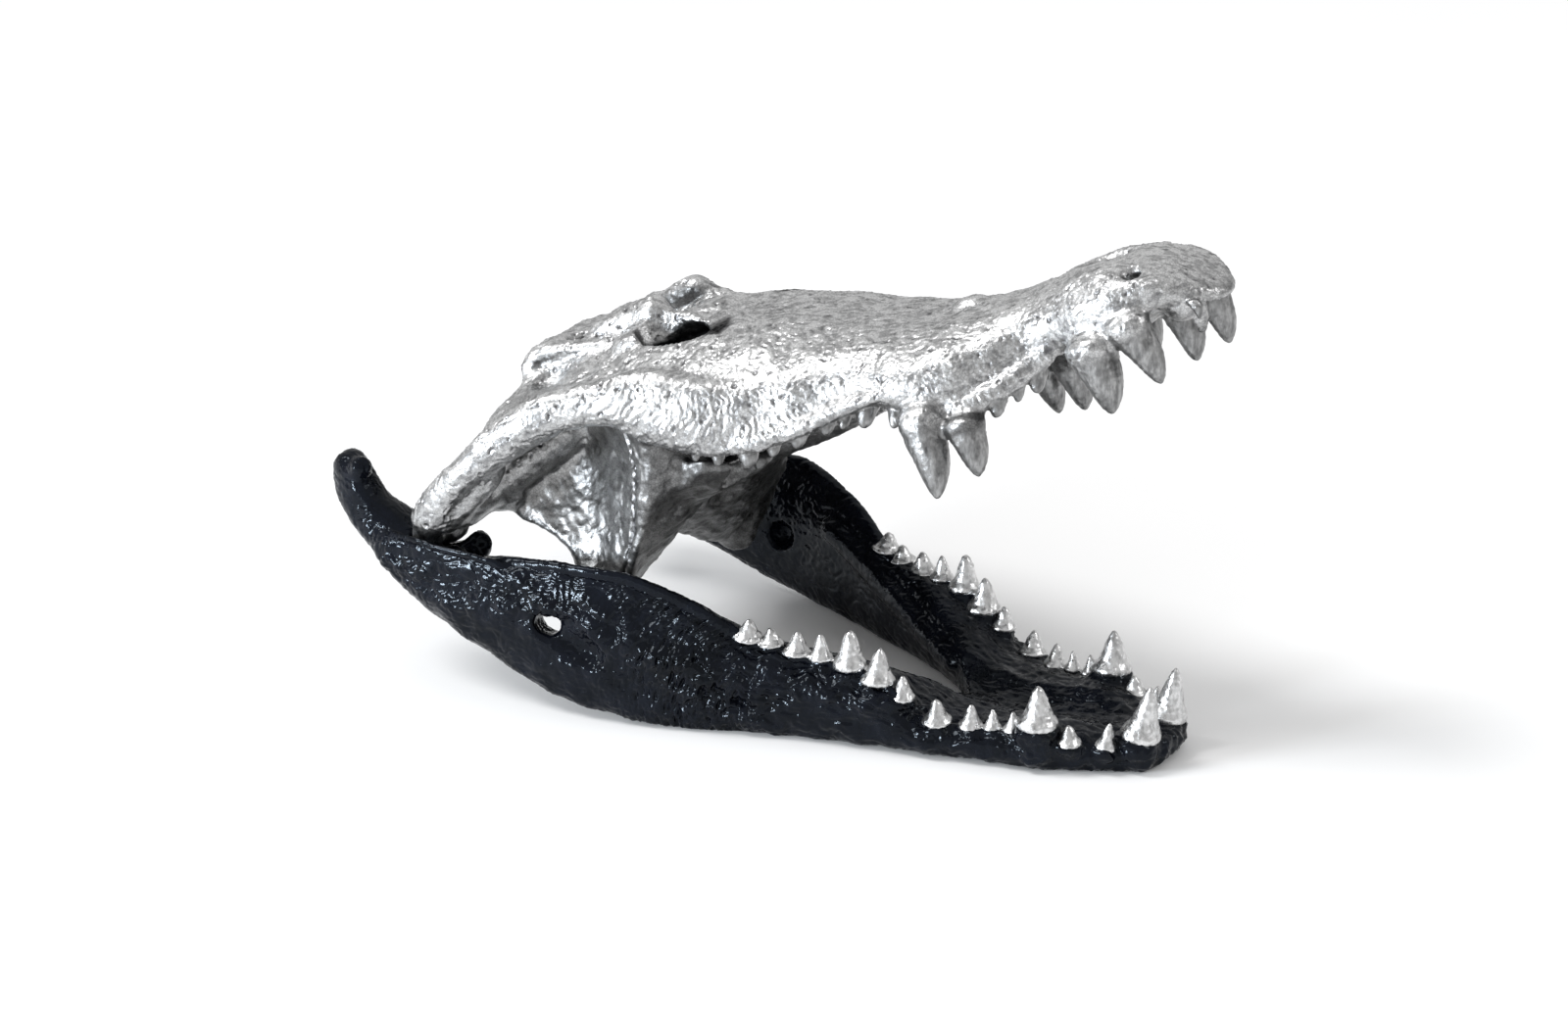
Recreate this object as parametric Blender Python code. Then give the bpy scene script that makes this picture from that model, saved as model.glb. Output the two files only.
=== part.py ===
"""Crocodile skull: a cast of the whole skull, upper skull with its teeth tipped up
over the lower jaw, which rests on the floor.  Metres, +Z up, +X to the snout,
+Y to the animal's left; origin on the floor under the middle of the part."""
import math

import bmesh
import bpy
import numpy as np
from mathutils import Euler, Matrix, Vector

for old in list(bpy.data.objects):
    bpy.data.objects.remove(old, do_unlink=True)

GAPE = math.radians(27)            # pitch of the cranium over the floor
JOINT = (-0.226, 0.0, 0.116)       # jaw joint axis (along y)
SHIFT_X = -0.0205                  # from the jaw's own frame to the part's origin
FLOOR = 0.0010                     # the jaw's underside is trimmed flat here
PARTING_U = 0.3057                 # snout and braincase meet here, cranium frame
GAP = 0.0003                       # left between neighbouring pieces
CRANIUM_TRIS = 4850
JAW_TRIS = 4350


# ------------------------------------------------------------------ helpers

def table(rows, s):
    """Smooth curve through a short table of knots; first column is the key."""
    a = np.array(rows, float)
    x, y = a[:, 0], a[:, 1:]
    s = np.atleast_1d(np.asarray(s, float))
    d = np.diff(y, axis=0) / np.diff(x)[:, None]
    m = np.empty_like(y)
    m[0], m[-1] = d[0], d[-1]
    lim = 3 * np.minimum(abs(d[1:]), abs(d[:-1]))
    m[1:-1] = np.where(d[1:] * d[:-1] > 0,
                       np.clip((d[1:] + d[:-1]) / 2, -lim, lim), 0)
    i = np.clip(np.searchsorted(x, s, side='right') - 1, 0, len(x) - 2)
    h = (x[i + 1] - x[i])[:, None]
    t = np.clip((s - x[i])[:, None] / h, 0, 1)
    return ((2 * t**3 - 3 * t**2 + 1) * y[i] + (t**3 - 2 * t**2 + t) * h * m[i]
            + (3 * t**2 - 2 * t**3) * y[i + 1] + (t**3 - t**2) * h * m[i + 1])


def spow(v, k):
    return np.sign(v) * np.abs(v) ** (2.0 / k)


def loft(rings):
    """Closed skin over a stack of rings, shape (m, n, 3), with fan caps."""
    rings = np.asarray(rings, float)
    m, n = rings.shape[:2]
    v = np.vstack([rings.reshape(-1, 3), rings[0].mean(0), rings[-1].mean(0)])
    f = []
    for i in range(m - 1):
        for j in range(n):
            k = (j + 1) % n
            f.append((i * n + j, i * n + k, (i + 1) * n + k, (i + 1) * n + j))
    for j in range(n):
        k = (j + 1) % n
        f.append((m * n, k, j))
        f.append((m * n + 1, (m - 1) * n + j, (m - 1) * n + k))
    return outward(v, f)


def outward(v, f):
    """Turn a closed skin so that its faces point out."""
    vol = 0.0
    for q in f:
        for j in range(1, len(q) - 1):
            vol += np.dot(v[q[0]], np.cross(v[q[j]], v[q[j + 1]]))
    if vol < 0:
        f = [tuple(reversed(q)) for q in f]
    return v, f


def tube(rows, k=2.2, n=28, steps=26, up=(0, 0, 1), ends=True):
    """Bar along a smooth path. rows: x, y, z, half side, half height, roll."""
    r = np.array(rows, float)
    if r.shape[1] == 4:
        r = np.hstack([r, r[:, 3:4]])
    if r.shape[1] == 5:
        r = np.hstack([r, np.zeros((len(r), 1))])
    seg = np.linalg.norm(np.diff(r[:, :3], axis=0), axis=1)
    key = np.concatenate([[0], np.cumsum(seg)])
    s = np.linspace(0, key[-1], steps)
    if ends:
        e = min(r[0, 3:5].min(), key[-1] / 3)
        f = min(r[-1, 3:5].min(), key[-1] / 3)
        s = np.unique(np.concatenate([s, e * np.array([.03, .15, .4, .7]),
                                      key[-1] - f * np.array([.03, .15, .4, .7])]))
    p = table(np.hstack([key[:, None], r]), s)
    c = p[:, :3]
    t = np.gradient(c, s, axis=0)
    t /= np.linalg.norm(t, axis=1)[:, None]
    side = np.cross(np.array(up, float), t)
    side /= np.linalg.norm(side, axis=1)[:, None]
    top = np.cross(t, side)
    a = np.linspace(0, 2 * math.pi, n, endpoint=False)
    ca, sa = spow(np.cos(a), k), spow(np.sin(a), k)
    rings = []
    for i in range(len(s)):
        g = 1.0
        if ends:
            g = min(1.0, math.sqrt(max(0.0, 1 - (1 - min(1, s[i] / e))**2)) + .04,
                    math.sqrt(max(0.0, 1 - (1 - min(1, (key[-1] - s[i]) / f))**2)) + .04)
        q = p[i, 5]
        S = side[i] * math.cos(q) + top[i] * math.sin(q)
        T = top[i] * math.cos(q) - side[i] * math.sin(q)
        rings.append(c[i] + g * (np.outer(ca * p[i, 3], S) + np.outer(sa * p[i, 4], T)))
    return loft(rings)


def ball(c, r, tilt=(0, 0, 0), k=2.0, n=28, m=16):
    """Ellipsoid, or a softened block where k is above 2."""
    b = np.linspace(-math.pi / 2, math.pi / 2, m + 2)[1:-1]
    a = np.linspace(0, 2 * math.pi, n, endpoint=False)
    ca, sa = spow(np.cos(a), k), spow(np.sin(a), k)
    rings = []
    for q in b:
        g, h = spow(math.cos(q), k), spow(math.sin(q), k)
        rings.append(np.stack([ca * g * r[0], sa * g * r[1],
                               np.full(n, h * r[2])], 1))
    v, f = loft(rings)
    rot = np.array(Euler(tilt).to_matrix())
    return v @ rot.T + np.array(c, float), f


def tooth(base, tip, r, sink=0.5, bend=0.0, blunt=0.16, flat=1.0, n=20, full=False,
          skirt=0.0):
    """Cone with a swollen root, a rounded point and a slight curve; a full one
    keeps its width further down and has no swelling; a skirt widens the foot."""
    b, p = np.array(base, float), np.array(tip, float)
    ax = p - b
    h = np.linalg.norm(ax)
    ax /= h
    side = np.cross(ax, (0, 1, 0))
    side /= np.linalg.norm(side)
    out = np.cross(ax, side)
    rings = []
    a = np.linspace(0, 2 * math.pi, n, endpoint=False)
    for t in np.concatenate([np.linspace(-sink, .9, 13), [.95, .98, .995]]):
        if full:
            g = (1 - max(0, t) ** 1.5) ** .6
        elif t < 0:
            g = 1.0 + .12 * math.sin(math.pi * min(1, -t / sink))
        else:
            g = (1 - t) ** .78 * (1 - blunt) + blunt * math.sqrt(max(0, 1 - t**6))
            g *= 1 + .10 * math.exp(-(t / .12)**2)
        g += skirt * math.exp(-(max(0, t) / .22) ** 2)
        c = b + ax * h * t + side * bend * h * (t * (1 - t)) * 4
        rings.append(c + r * g * (np.outer(np.cos(a), side) * flat
                                  + np.outer(np.sin(a), out)))
    return loft(rings)


def both(shape):
    """A shape and its mirror image across the middle plane."""
    v, f = shape
    w = v * np.array([1, -1, 1.0])
    return [shape, (w, [tuple(reversed(q)) for q in f])]


def as_object(name, parts):
    vs, fs, k = [], [], 0
    for v, f in parts:
        vs.append(v)
        fs += [tuple(i + k for i in q) for q in f]
        k += len(v)
    me = bpy.data.meshes.new(name)
    me.from_pydata(np.vstack(vs).tolist(), [], fs)
    me.update()
    ob = bpy.data.objects.new(name, me)
    bpy.context.scene.collection.objects.link(ob)
    return ob


def settle(ob):
    """Make the modifiers' result the object's own mesh."""
    dg = bpy.context.evaluated_depsgraph_get()
    dg.update()
    me = bpy.data.meshes.new_from_object(ob.evaluated_get(dg))
    old = ob.data
    ob.modifiers.clear()
    ob.data = me
    bpy.data.meshes.remove(old)
    return ob


def remesh(ob, voxel):
    m = ob.modifiers.new('remesh', 'REMESH')
    m.mode = 'VOXEL'
    m.voxel_size = voxel
    m.adaptivity = 0
    return settle(ob)


def relax(ob, times, factor=0.5):
    m = ob.modifiers.new('smooth', 'SMOOTH')
    m.factor, m.iterations = factor, times
    return settle(ob)


def cut(ob, tool, operation='DIFFERENCE'):
    tool.hide_render = True
    tool.display_type = 'WIRE'
    m = ob.modifiers.new('cut', 'BOOLEAN')
    m.operation, m.object, m.solver = operation, tool, 'EXACT'
    settle(ob)
    bpy.data.objects.remove(tool, do_unlink=True)
    return ob


def verts(ob):
    a = np.empty(len(ob.data.vertices) * 3)
    ob.data.vertices.foreach_get('co', a)
    return a.reshape(-1, 3)


def put_verts(ob, v):
    ob.data.vertices.foreach_set('co', np.ascontiguousarray(v, float).ravel())
    ob.data.update()


def normals(ob):
    a = np.empty(len(ob.data.vertices) * 3)
    ob.data.vertex_normals.foreach_get('vector', a)
    return a.reshape(-1, 3)


def bump(x, c, s):
    """Smooth hill of height 1 at c, with width s."""
    return np.exp(-((x - c) / s) ** 2)


# ------------------------------------------------------------------ cranium
# The cranium is drawn level in its own frame (u forward from the jaw joint,
# y to the animal's left, w up), then tipped up by GAPE about the joint.

# u, midline height, half width, margin height, height of the widest point, dome
ROSTRUM = [
    (.190, .078, .100, .020, .045, 2.3),
    (.215, .077, .110, .000, .028, 2.3),
    (.240, .0725, .113, -.016, .012, 2.3),
    (.270, .064, .111, -.030, -.003, 2.3),
    (.310, .050, .103, -.0365, -.013, 2.3),
    (.345, .035, .094, -.034, -.014, 2.3),
    (.375, .024, .087, -.034, -.016, 2.3),
    (.408, .0145, .088, -.050, -.028, 2.3),
    (.435, .0085, .082, -.052, -.032, 2.3),
    (.465, .0055, .066, -.048, -.030, 2.3),
    (.500, .0040, .049, -.044, -.025, 2.3),
    (.520, .0060, .050, -.045, -.024, 2.3),
    (.545, .0095, .057, -.049, -.026, 2.4),
    (.570, .0065, .056, -.045, -.023, 2.4),
    (.590, -.0015, .050, -.038, -.019, 2.4),
    (.608, -.0130, .042, -.039, -.023, 2.4),
    (.621, -.0250, .030, -.043, -.031, 2.3),
    (.630, -.0345, .017, -.047, -.039, 2.2),
    (.634, -.0405, .005, -.047, -.043, 2.0),
]

# teeth of the upper jaw: base u, y, w, tip u, y, w, radius, and the sides that
# have it (1 the animal's left, -1 its right, 0 both)
BIG = 0.0110                     # teeth wider than this grow from gum-like cones
UPPER_TEETH = {
    'P1': (.6055, .0235, -.050, .6020, .0265, -.0824, .0118, 1),
    'P2': (.6215, .0310, -.0440, .6200, .0310, -.0530, .0042, -1),
    'P3 left': (.5695, .0380, -.0556, .5671, .0360, -.0878, .0128, 1),
    'P3 right': (.5770, .0470, -.0489, .5781, .0400, -.0857, .0132, -1),
    'P4 left': (.533, .0500, -.044, .5255, .0480, -.0800, .0125, 1),
    'P4 right': (.5425, .0510, -.0560, .5384, .0500, -.0934, .0158, -1),
    'M1': (.4890, .0440, -.0500, .4860, .0485, -.0625, .0076, 0),
    'M2': (.4760, .0520, -.0520, .4745, .0570, -.0630, .0058, 0),
    'M3': (.4620, .0620, -.0560, .4595, .0680, -.0670, .0074, 0),
    'M4': (.4413, .0820, -.0713, .4372, .0830, -.1005, .0126, 0),
    'M5 left': (.4120, .0880, -.0620, .4079, .0960, -.0978, .0128, 1),
    'M5 right': (.4110, .0870, -.0620, .4064, .0960, -.1046, .0148, -1),
    'M6': (.3900, .0740, -.0350, .3880, .0860, -.0478, .0076, 0),
    'M7': (.3670, .0760, -.0270, .3645, .0860, -.0405, .0092, 0),
    'M8': (.3500, .0790, -.0240, .3490, .0880, -.0365, .0065, 0),
    'M9': (.3350, .0810, -.0240, .3340, .0890, -.0358, .0080, 0),
    'M10': (.3110, .0860, -.0250, .3090, .0930, -.0375, .0088, 0),
    'M11': (.2910, .0910, -.0240, .2900, .0980, -.0370, .0074, 0),
    'M12': (.2700, .0950, -.0230, .2690, .1020, -.0385, .0099, 0),
    'M13': (.2480, .0980, -.0150, .2465, .1050, -.0295, .0073, 0),
    'M14': (.2320, .1010, -.0080, .2310, .1070, -.0205, .0054, 0),
}


def on_sides(shape, side):
    """The left shape, its mirror image, or both."""
    pair = both(shape)
    return pair if side == 0 else pair[:1] if side > 0 else pair[1:]


def rostrum(n=64, steps=90):
    s = ROSTRUM[0][0] + (ROSTRUM[-1][0] - ROSTRUM[0][0]) * np.linspace(0, 1, steps) ** .9
    p = table(ROSTRUM, s)
    a = np.linspace(0, 2 * math.pi, n, endpoint=False)
    rings = []
    for u, (T, W, M, S, k) in zip(s, p):
        c, q = np.cos(a), np.sin(a)
        kk = np.where(q >= 0, k, 3.4)
        y = W * np.sign(c) * np.abs(c) ** (2 / kk)
        w = np.where(q >= 0, S + (T - S) * np.abs(q) ** (2 / kk),
                     S - (S - M) * np.abs(q) ** (2 / kk))
        rings.append(np.stack([np.full(n, u), y, w], 1))
    return loft(rings)


def slab(rows, thick, k=2.6, n=30, steps=22):
    """Plate lofted sideways. rows: y, u rear, w rear, u front, w front."""
    r = np.array(rows, float)
    s = np.linspace(r[0, 0], r[-1, 0], steps)
    p = table(r, s)
    th = table([(q[0], t) for q, t in zip(rows, thick)], s)[:, 0]
    a = np.linspace(0, 2 * math.pi, n, endpoint=False)
    rings = []
    for y, (u0, w0, u1, w1), h in zip(s, p, th):
        c = np.array([(u0 + u1) / 2, y, (w0 + w1) / 2])
        d = np.array([(u1 - u0) / 2, 0, (w1 - w0) / 2])
        nn = np.array([-d[2], 0, d[0]]) / (np.hypot(d[0], d[2]) + 1e-9)
        rings.append(c + np.outer(spow(np.cos(a), k), d)
                     + np.outer(spow(np.sin(a), k) * h, nn))
    return loft(rings)


def sheet(rows, k=2.6, n=30, steps=24):
    """Upright plate. rows: u, y top, w top, y foot, w foot, half thickness."""
    r = np.array(rows, float)
    s = np.linspace(r[0, 0], r[-1, 0], steps)
    p = table(r, s)
    a = np.linspace(0, 2 * math.pi, n, endpoint=False)
    rings = []
    for u, (y0, w0, y1, w1, h) in zip(s, p):
        c = np.array([u, (y0 + y1) / 2, (w0 + w1) / 2])
        d = np.array([0, (y1 - y0) / 2, (w1 - w0) / 2])
        nn = np.array([0, -d[2], d[1]]) / (np.hypot(d[1], d[2]) + 1e-9)
        rings.append(c + np.outer(spow(np.cos(a), k), d)
                     + np.outer(spow(np.sin(a), k) * h, nn))
    return loft(rings)


def stack(levels, n=48):
    """Solid lofted upward from outlines in the u-y plane, each of the same few
    corners, with smooth sides."""
    w = np.array([q[0] for q in levels])
    corners = np.array([np.array(q[1:], float).ravel() for q in levels])
    key = np.linspace(w[0], w[-1], 40)
    rows = table(np.hstack([w[:, None], corners]), key)
    t = np.linspace(0, 1, n // (corners.shape[1] // 2), endpoint=False)
    rings = []
    for z, row in zip(key, rows):
        c = row.reshape(-1, 2)
        a, b, d, e = np.roll(c, 1, 0), c, np.roll(c, -1, 0), np.roll(c, -2, 0)
        pts = []
        for i in range(len(c)):
            m0, m1 = (d[i] - a[i]) * .42, (e[i] - b[i]) * .42
            for q in t:
                pts.append((2 * q**3 - 3 * q**2 + 1) * b[i] + (q**3 - 2 * q**2 + q) * m0
                           + (3 * q**2 - 2 * q**3) * d[i] + (q**3 - q**2) * m1)
        pts = np.array(pts)
        rings.append(np.hstack([pts, np.full((len(pts), 1), z)]))
    return loft(rings)


# wing of the palate on the left side: height, then corners (u, y): inner rear,
# outer rear, wall of the chamber, column rear, ridge, front edge, inner front, inner
WING = [
    (-.117, (.078, .093), (.079, .098), (.083, .100), (.088, .100), (.094, .099), (.093, .095),
     (.088, .092), (.082, .091)),
    (-.102, (.073, .087), (.073, .099), (.084, .103), (.098, .104), (.112, .103), (.110, .092),
     (.100, .087), (.086, .085)),
    (-.080, (.079, .083), (.080, .099), (.100, .101), (.122, .104), (.138, .105), (.134, .090),
     (.122, .083), (.100, .079)),
    (-.055, (.082, .080), (.083, .098), (.108, .093), (.140, .101), (.1615, .108), (.164, .086),
     (.160, .070), (.118, .073)),
    (-.030, (.068, .081), (.069, .098), (.104, .082), (.146, .095), (.180, .110), (.204, .084),
     (.203, .054), (.120, .064)),
    (-.012, (.052, .084), (.053, .100), (.102, .073), (.150, .090), (.190, .110), (.210, .085),
     (.206, .053), (.120, .055)),
    (.010, (.048, .074), (.052, .098), (.104, .066), (.152, .086), (.195, .111), (.216, .090),
     (.208, .062), (.120, .044)),
    (.045, (.044, .060), (.050, .090), (.106, .062), (.154, .086), (.200, .110), (.222, .094),
     (.212, .060), (.120, .036)),
]


def cranium_solid():
    p = [rostrum()]
    # cheek bar: jugal and quadratojugal, out to the corner over the joint
    p += both(tube([(.350, .070, -.006, .010, .014), (.300, .085, -.004, .017, .024),
                    (.250, .102, .010, .018, .028),
                    (.215, .110, .030, .016, .028), (.195, .114, .0415, .014, .0200),
                    (.170, .120, .0475, .013, .0158), (.130, .131, .0525, .012, .0155),
                    (.090, .140, .0445, .012, .0140), (.050, .1455, .0315, .0125, .0120),
                    (.018, .1445, .0150, .013, .0150), (-.004, .1410, .0050, .012, .0125)], k=2.6))
    # lower, recessed part of the quadratojugal
    p += both(tube([(.080, .128, .030, .008, .010), (.045, .138, .016, .009, .012),
                    (.012, .142, .003, .010, .012)], k=2.4))
    # sunken plate between the quadrate and the bar
    p += both(slab([(.100, .004, .006, .070, .030), (.125, .002, .007, .076, .036),
                    (.148, .004, .009, .066, .036)], (.006, .006, .006)))
    # skull table with its raised edge
    p.append(ball((.130, 0, .080), (.053, .056, .0095), tilt=(0, .26, 0), k=4.2))
    p += both(tube([(.085, .060, .076, .0088), (.090, .058, .0865, .0090),
                    (.101, .057, .0910, .0090), (.118, .056, .0875, .0086),
                    (.142, .052, .0795, .0082), (.178, .044, .0715, .0085)]))
    # roof between the eyes and its raised rims
    p.append(ball((.190, 0, .070), (.055, .032, .010), k=3))
    p += both(tube([(.128, .040, .076, .008), (.138, .037, .086, .0086),
                    (.150, .034, .0905, .0092), (.163, .032, .0890, .0095),
                    (.178, .030, .0900, .0115), (.190, .030, .0905, .0120),
                    (.203, .031, .080, .0095), (.232, .038, .066, .0080)]))
    # outer and hind rims of the eye sockets
    p += both(tube([(.166, .044, .074, .010), (.176, .060, .066, .010),
                    (.192, .078, .056, .011), (.225, .092, .042, .013)]))
    # hollow wall between the rims, behind the eye socket
    p += both(ball((.185, .050, .0735), (.018, .022, .0115), k=2.4))
    # bar behind the eye socket, from the roof down to the cheek
    p += both(tube([(.168, .038, .072, .010), (.176, .052, .064, .0115),
                    (.181, .074, .053, .0105), (.184, .100, .042, .0115)], up=(1, 0, 0)))
    # sloping side roof from the table down to the cheek bar and the quadrate
    p += both(slab([(.040, .086, .080, .184, .066), (.060, .080, .075, .186, .063),
                    (.075, .074, .070, .192, .058), (.090, .064, .064, .200, .052),
                    (.108, .050, .052, .205, .046), (.125, .036, .038, .180, .046),
                    (.143, .014, .018, .120, .046)],
                   (.012, .011, .010, .009, .009, .009, .009)))
    # braincase, hind face and neck knob
    p.append(ball((.125, 0, .026), (.055, .036, .056), k=2.8))
    p.append(ball((.088, 0, .046), (.026, .052, .034), k=2.6))
    p.append(ball((.060, 0, .034), (.016, .015, .014)))
    p.append(tube([(.170, 0, .030, .026, .035), (.230, 0, .020, .022, .035),
                   (.300, 0, .000, .030, .030)]))
    # quadrate, widening to the joint surface
    p += both(tube([(.110, .040, .040, .026, .020), (.075, .078, .026, .026, .018),
                    (.042, .104, .014, .024, .015), (.012, .124, .003, .024, .013)], k=2.4))
    p += both(tube([(.001, .098, -.002, .012), (-.002, .112, -.001, .0132),
                    (-.003, .126, .0015, .0118), (-.003, .139, .0005, .0122),
                    (.000, .148, .002, .0105)], up=(1, 0, 0)))
    # web between the quadrate and the wing
    p += both(ball((.050, .102, .003), (.017, .012, .0095)))
    # pterygoid and ectopterygoid of each side: wall of the cheek chamber, thick
    # outer column and the big flange below
    p += both(stack(WING))
    # roof of the mouth behind the inner nostril, sloping down to the hind edge
    p += [slab([(-.099, .073, -.107, .160, -.054), (-.065, .080, -.097, .185, -.046),
                (-.030, .085, -.080, .196, -.036), (.0, .089, -.066, .200, -.026),
                (.030, .085, -.080, .196, -.036), (.065, .080, -.097, .185, -.046),
                (.099, .073, -.107, .160, -.054)],
               (.008, .009, .009, .010, .009, .009, .008), steps=44)]
    p.append(ball((.118, 0, -.028), (.036, .034, .034), tilt=(0, -.2, 0), k=2.6))
    # plate between the wing and the palatine bar, behind the palate opening
    p += both(slab([(.010, .130, -.046, .240, -.040), (.045, .135, -.047, .240, -.042),
                    (.070, .140, -.044, .238, -.036), (.092, .146, -.036, .226, -.024)],
                   (.010, .0095, .0095, .009)))
    # palatine bar between the two palate openings
    p.append(tube([(.165, 0, -.036, .040, .012), (.195, 0, -.034, .034, .014),
                   (.230, 0, -.032, .027, .016), (.280, 0, -.030, .026, .018),
                   (.330, 0, -.026, .032, .016), (.380, 0, -.022, .036, .012),
                   (.420, 0, -.014, .030, .008)], k=2.6))
    # little prong between the two front teeth
    p.append(tube([(.606, 0, -.040, .010), (.603, 0, -.056, .006),
                   (.600, 0, -.068, .003)], up=(1, 0, 0)))
    # smooth lip along the margin, over the small back teeth
    p += both(tube([(.222, .108, -.001, .0065), (.244, .1085, -.011, .0068),
                    (.264, .1070, -.0170, .0066), (.290, .1030, -.0220, .0066),
                    (.323, .0975, -.0232, .0064), (.352, .0925, -.0218, .0060),
                    (.378, .0895, -.0215, .0050), (.398, .0850, -.0240, .0030)]))
    # margin over the small teeth in front of the big ones
    p += both(tube([(.430, .0760, -.050, .009, .012), (.446, .0720, -.0510, .0085, .0095),
                    (.463, .0640, -.0500, .0080, .0085), (.479, .0550, -.0465, .0075, .0085),
                    (.495, .0470, -.0420, .0070, .0080), (.510, .0440, -.036, .0060, .0070)]))
    # low boss on the ridge of the snout
    p.append(ball((.430, 0, .0085), (.018, .014, .0068)))
    # gum-like cones the big teeth grow from
    for name, (a, b, c, d, e, f, r, side) in UPPER_TEETH.items():
        if r > BIG:
            root, tip = np.array((a, b, c)), np.array((d, e, f))
            path = [(*(root + (tip - root) * k), r * g)
                    for k, g in ((-.60, 1.30), (-.25, 1.15), (.02, 1.00), (.25, .86),
                                 (.42, .68))]
            p += on_sides(tube(path, up=(1, 0, 0), k=2.2), side)
    p += both(ball((.605, .019, -.038), (.016, .014, .014)))
    return p


def cranium_cuts():
    c = []
    # eye sockets, open down through the palate openings
    c += both(tube([(.2175, .054, .105, .0175, .0285), (.2175, .053, .070, .0175, .0275),
                    (.223, .056, .040, .020, .026), (.236, .059, .000, .018, .032),
                    (.246, .056, -.035, .018, .038), (.248, .054, -.075, .020, .040)],
                   up=(1, 0, 0), k=2.2, ends=False))
    # the socket widens under its rim
    c += both(ball((.2200, .042, .0550), (.0215, .022, .0150), k=2.4))
    c += both(ball((.2220, .050, .038), (.0225, .026, .022)))
    # long slit of the socket, drawn out to the rear under the roof
    c += both(tube([(.1960, .0480, .0705, .0100, .0075), (.2120, .0520, .0690, .0160, .0090),
                    (.2380, .0570, .0680, .0150, .0085), (.2540, .0620, .0690, .0080, .0060)],
                   k=2.2))
    # nostril, slanting back into the snout
    c.append(ball((.556, 0, .0155), (.0235, .0205, .0165), k=2.3))
    c.append(ball((.548, 0, .0020), (.0140, .0120, .0110)))
    # holes for the first lower teeth
    c += both(tube([(.5860, .0480, .012, .0080), (.5870, .0380, -.006, .0068),
                    (.5890, .0300, -.030, .0060), (.5900, .0240, -.060, .0075)],
                   up=(1, 0, 0), ends=False))
    # openings of the skull table
    c += both(tube([(.120, .026, .115, .0155, .013), (.122, .027, .080, .013, .011),
                    (.126, .030, .066, .009, .009)], up=(0, 1, 0)))
    # inner nostril in the roof of the mouth
    c += both(ball((.1450, .0260, -.0720), (.0150, .0170, .0150), tilt=(-.5, -.3, 0)))
    # passage of the spinal cord
    c.append(tube([(.030, 0, .062, .0085), (.095, 0, .060, .0075)]))
    # ear recess under the edge of the skull table
    c += both(ball((.112, .0770, .0755), (.0190, .0150, .0095), tilt=(0, .10, -.12)))
    c += both(tube([(.096, .0665, .0850, .0045, .0040), (.120, .0665, .0830, .0055, .0050),
                    (.150, .0620, .0800, .0050, .0045), (.165, .0590, .0780, .003, .003)]))
    # chamber under the cheek, in front of the quadrate
    c += both(tube([(.070, .128, .008, .012, .012), (.095, .122, .010, .016, .017),
                    (.130, .113, .008, .020, .022), (.158, .116, .006, .014, .020),
                    (.172, .122, .006, .008, .012)], k=2.2))
    return c


def cranium(voxel, teeth_voxel):
    ob = remesh(as_object('cranium', cranium_solid()), voxel)
    tool = remesh(as_object('tool', cranium_cuts()), voxel)
    cut(ob, tool)
    remesh(ob, teeth_voxel)
    return ob


def upper_teeth():
    t = []
    for name, (a, b, c, d, e, f, r, side) in UPPER_TEETH.items():
        big = r > BIG
        t += on_sides(tooth((a, b, c), (d, e, f), r, sink=.40 if big else .6,
                            bend=.05, blunt=.40, full=big), side)
    return t


def tip_up(v):
    """From the cranium's own frame to the part's frame."""
    c, s = math.cos(GAPE), math.sin(GAPE)
    return np.stack([JOINT[0] + v[:, 0] * c - v[:, 2] * s, v[:, 1],
                     JOINT[2] + v[:, 0] * s + v[:, 2] * c], 1)


# ------------------------------------------------------------------ lower jaw
# x, outer side at the foot, outer side at the crest, thickness, foot z, crest z
RAMUS = [
    (-.319, .138, .139, .020, .138, .156, 0),
    (-.309, .143, .144, .028, .124, .1665, 0),
    (-.297, .147, .148, .030, .110, .1625, 0),
    (-.290, .149, .150, .031, .104, .157, 0),
    (-.280, .150, .152, .033, .096, .1405, 0),
    (-.260, .154, .157, .046, .080, .1270, 0),
    (-.236, .157, .162, .062, .063, .111, 0),
    (-.212, .159, .165, .060, .050, .102, 0),
    (-.190, .160, .166, .044, .042, .104, .1),
    (-.160, .160, .165, .033, .030, .113, .15),
    (-.130, .160, .164, .030, .020, .117, .15),
    (-.105, .159, .163, .030, .011, .119, .15),
    (-.065, .154, .158, .030, .0035, .119, .15),
    (-.030, .145, .147, .031, .000, .110, .1),
    (.000, .136, .137, .032, .000, .097, 0),
    (.030, .123, .124, .034, .000, .078, 0),
    (.067, .111, .112, .040, .000, .067, 0),
    (.090, .106, .107, .0485, .000, .062, 0),
    (.110, .102, .102, .057, .000, .056, 0),
    (.135, .096, .096, .069, .000, .045, 0),
    (.150, .092, .092, .079, .000, .037, 0),
    (.164, .090, .090, .092, .000, .031, 0),
    (.175, .087, .086, .090, .000, .029, 0),
    (.200, .080, .079, .084, .000, .027, 0),
    (.225, .074, .072, .076, .000, .028, 0),
    (.250, .067, .065, .069, .000, .031, 0),
    (.275, .055, .055, .058, .000, .027, 0),
    (.295, .042, .043, .046, .000, .024, 0),
    (.311, .034, .035, .037, .001, .024, 0),
    (.3215, .023, .024, .028, .003, .024, 0),
    (.3280, .010, .012, .014, .008, .021, 0),
]

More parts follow.
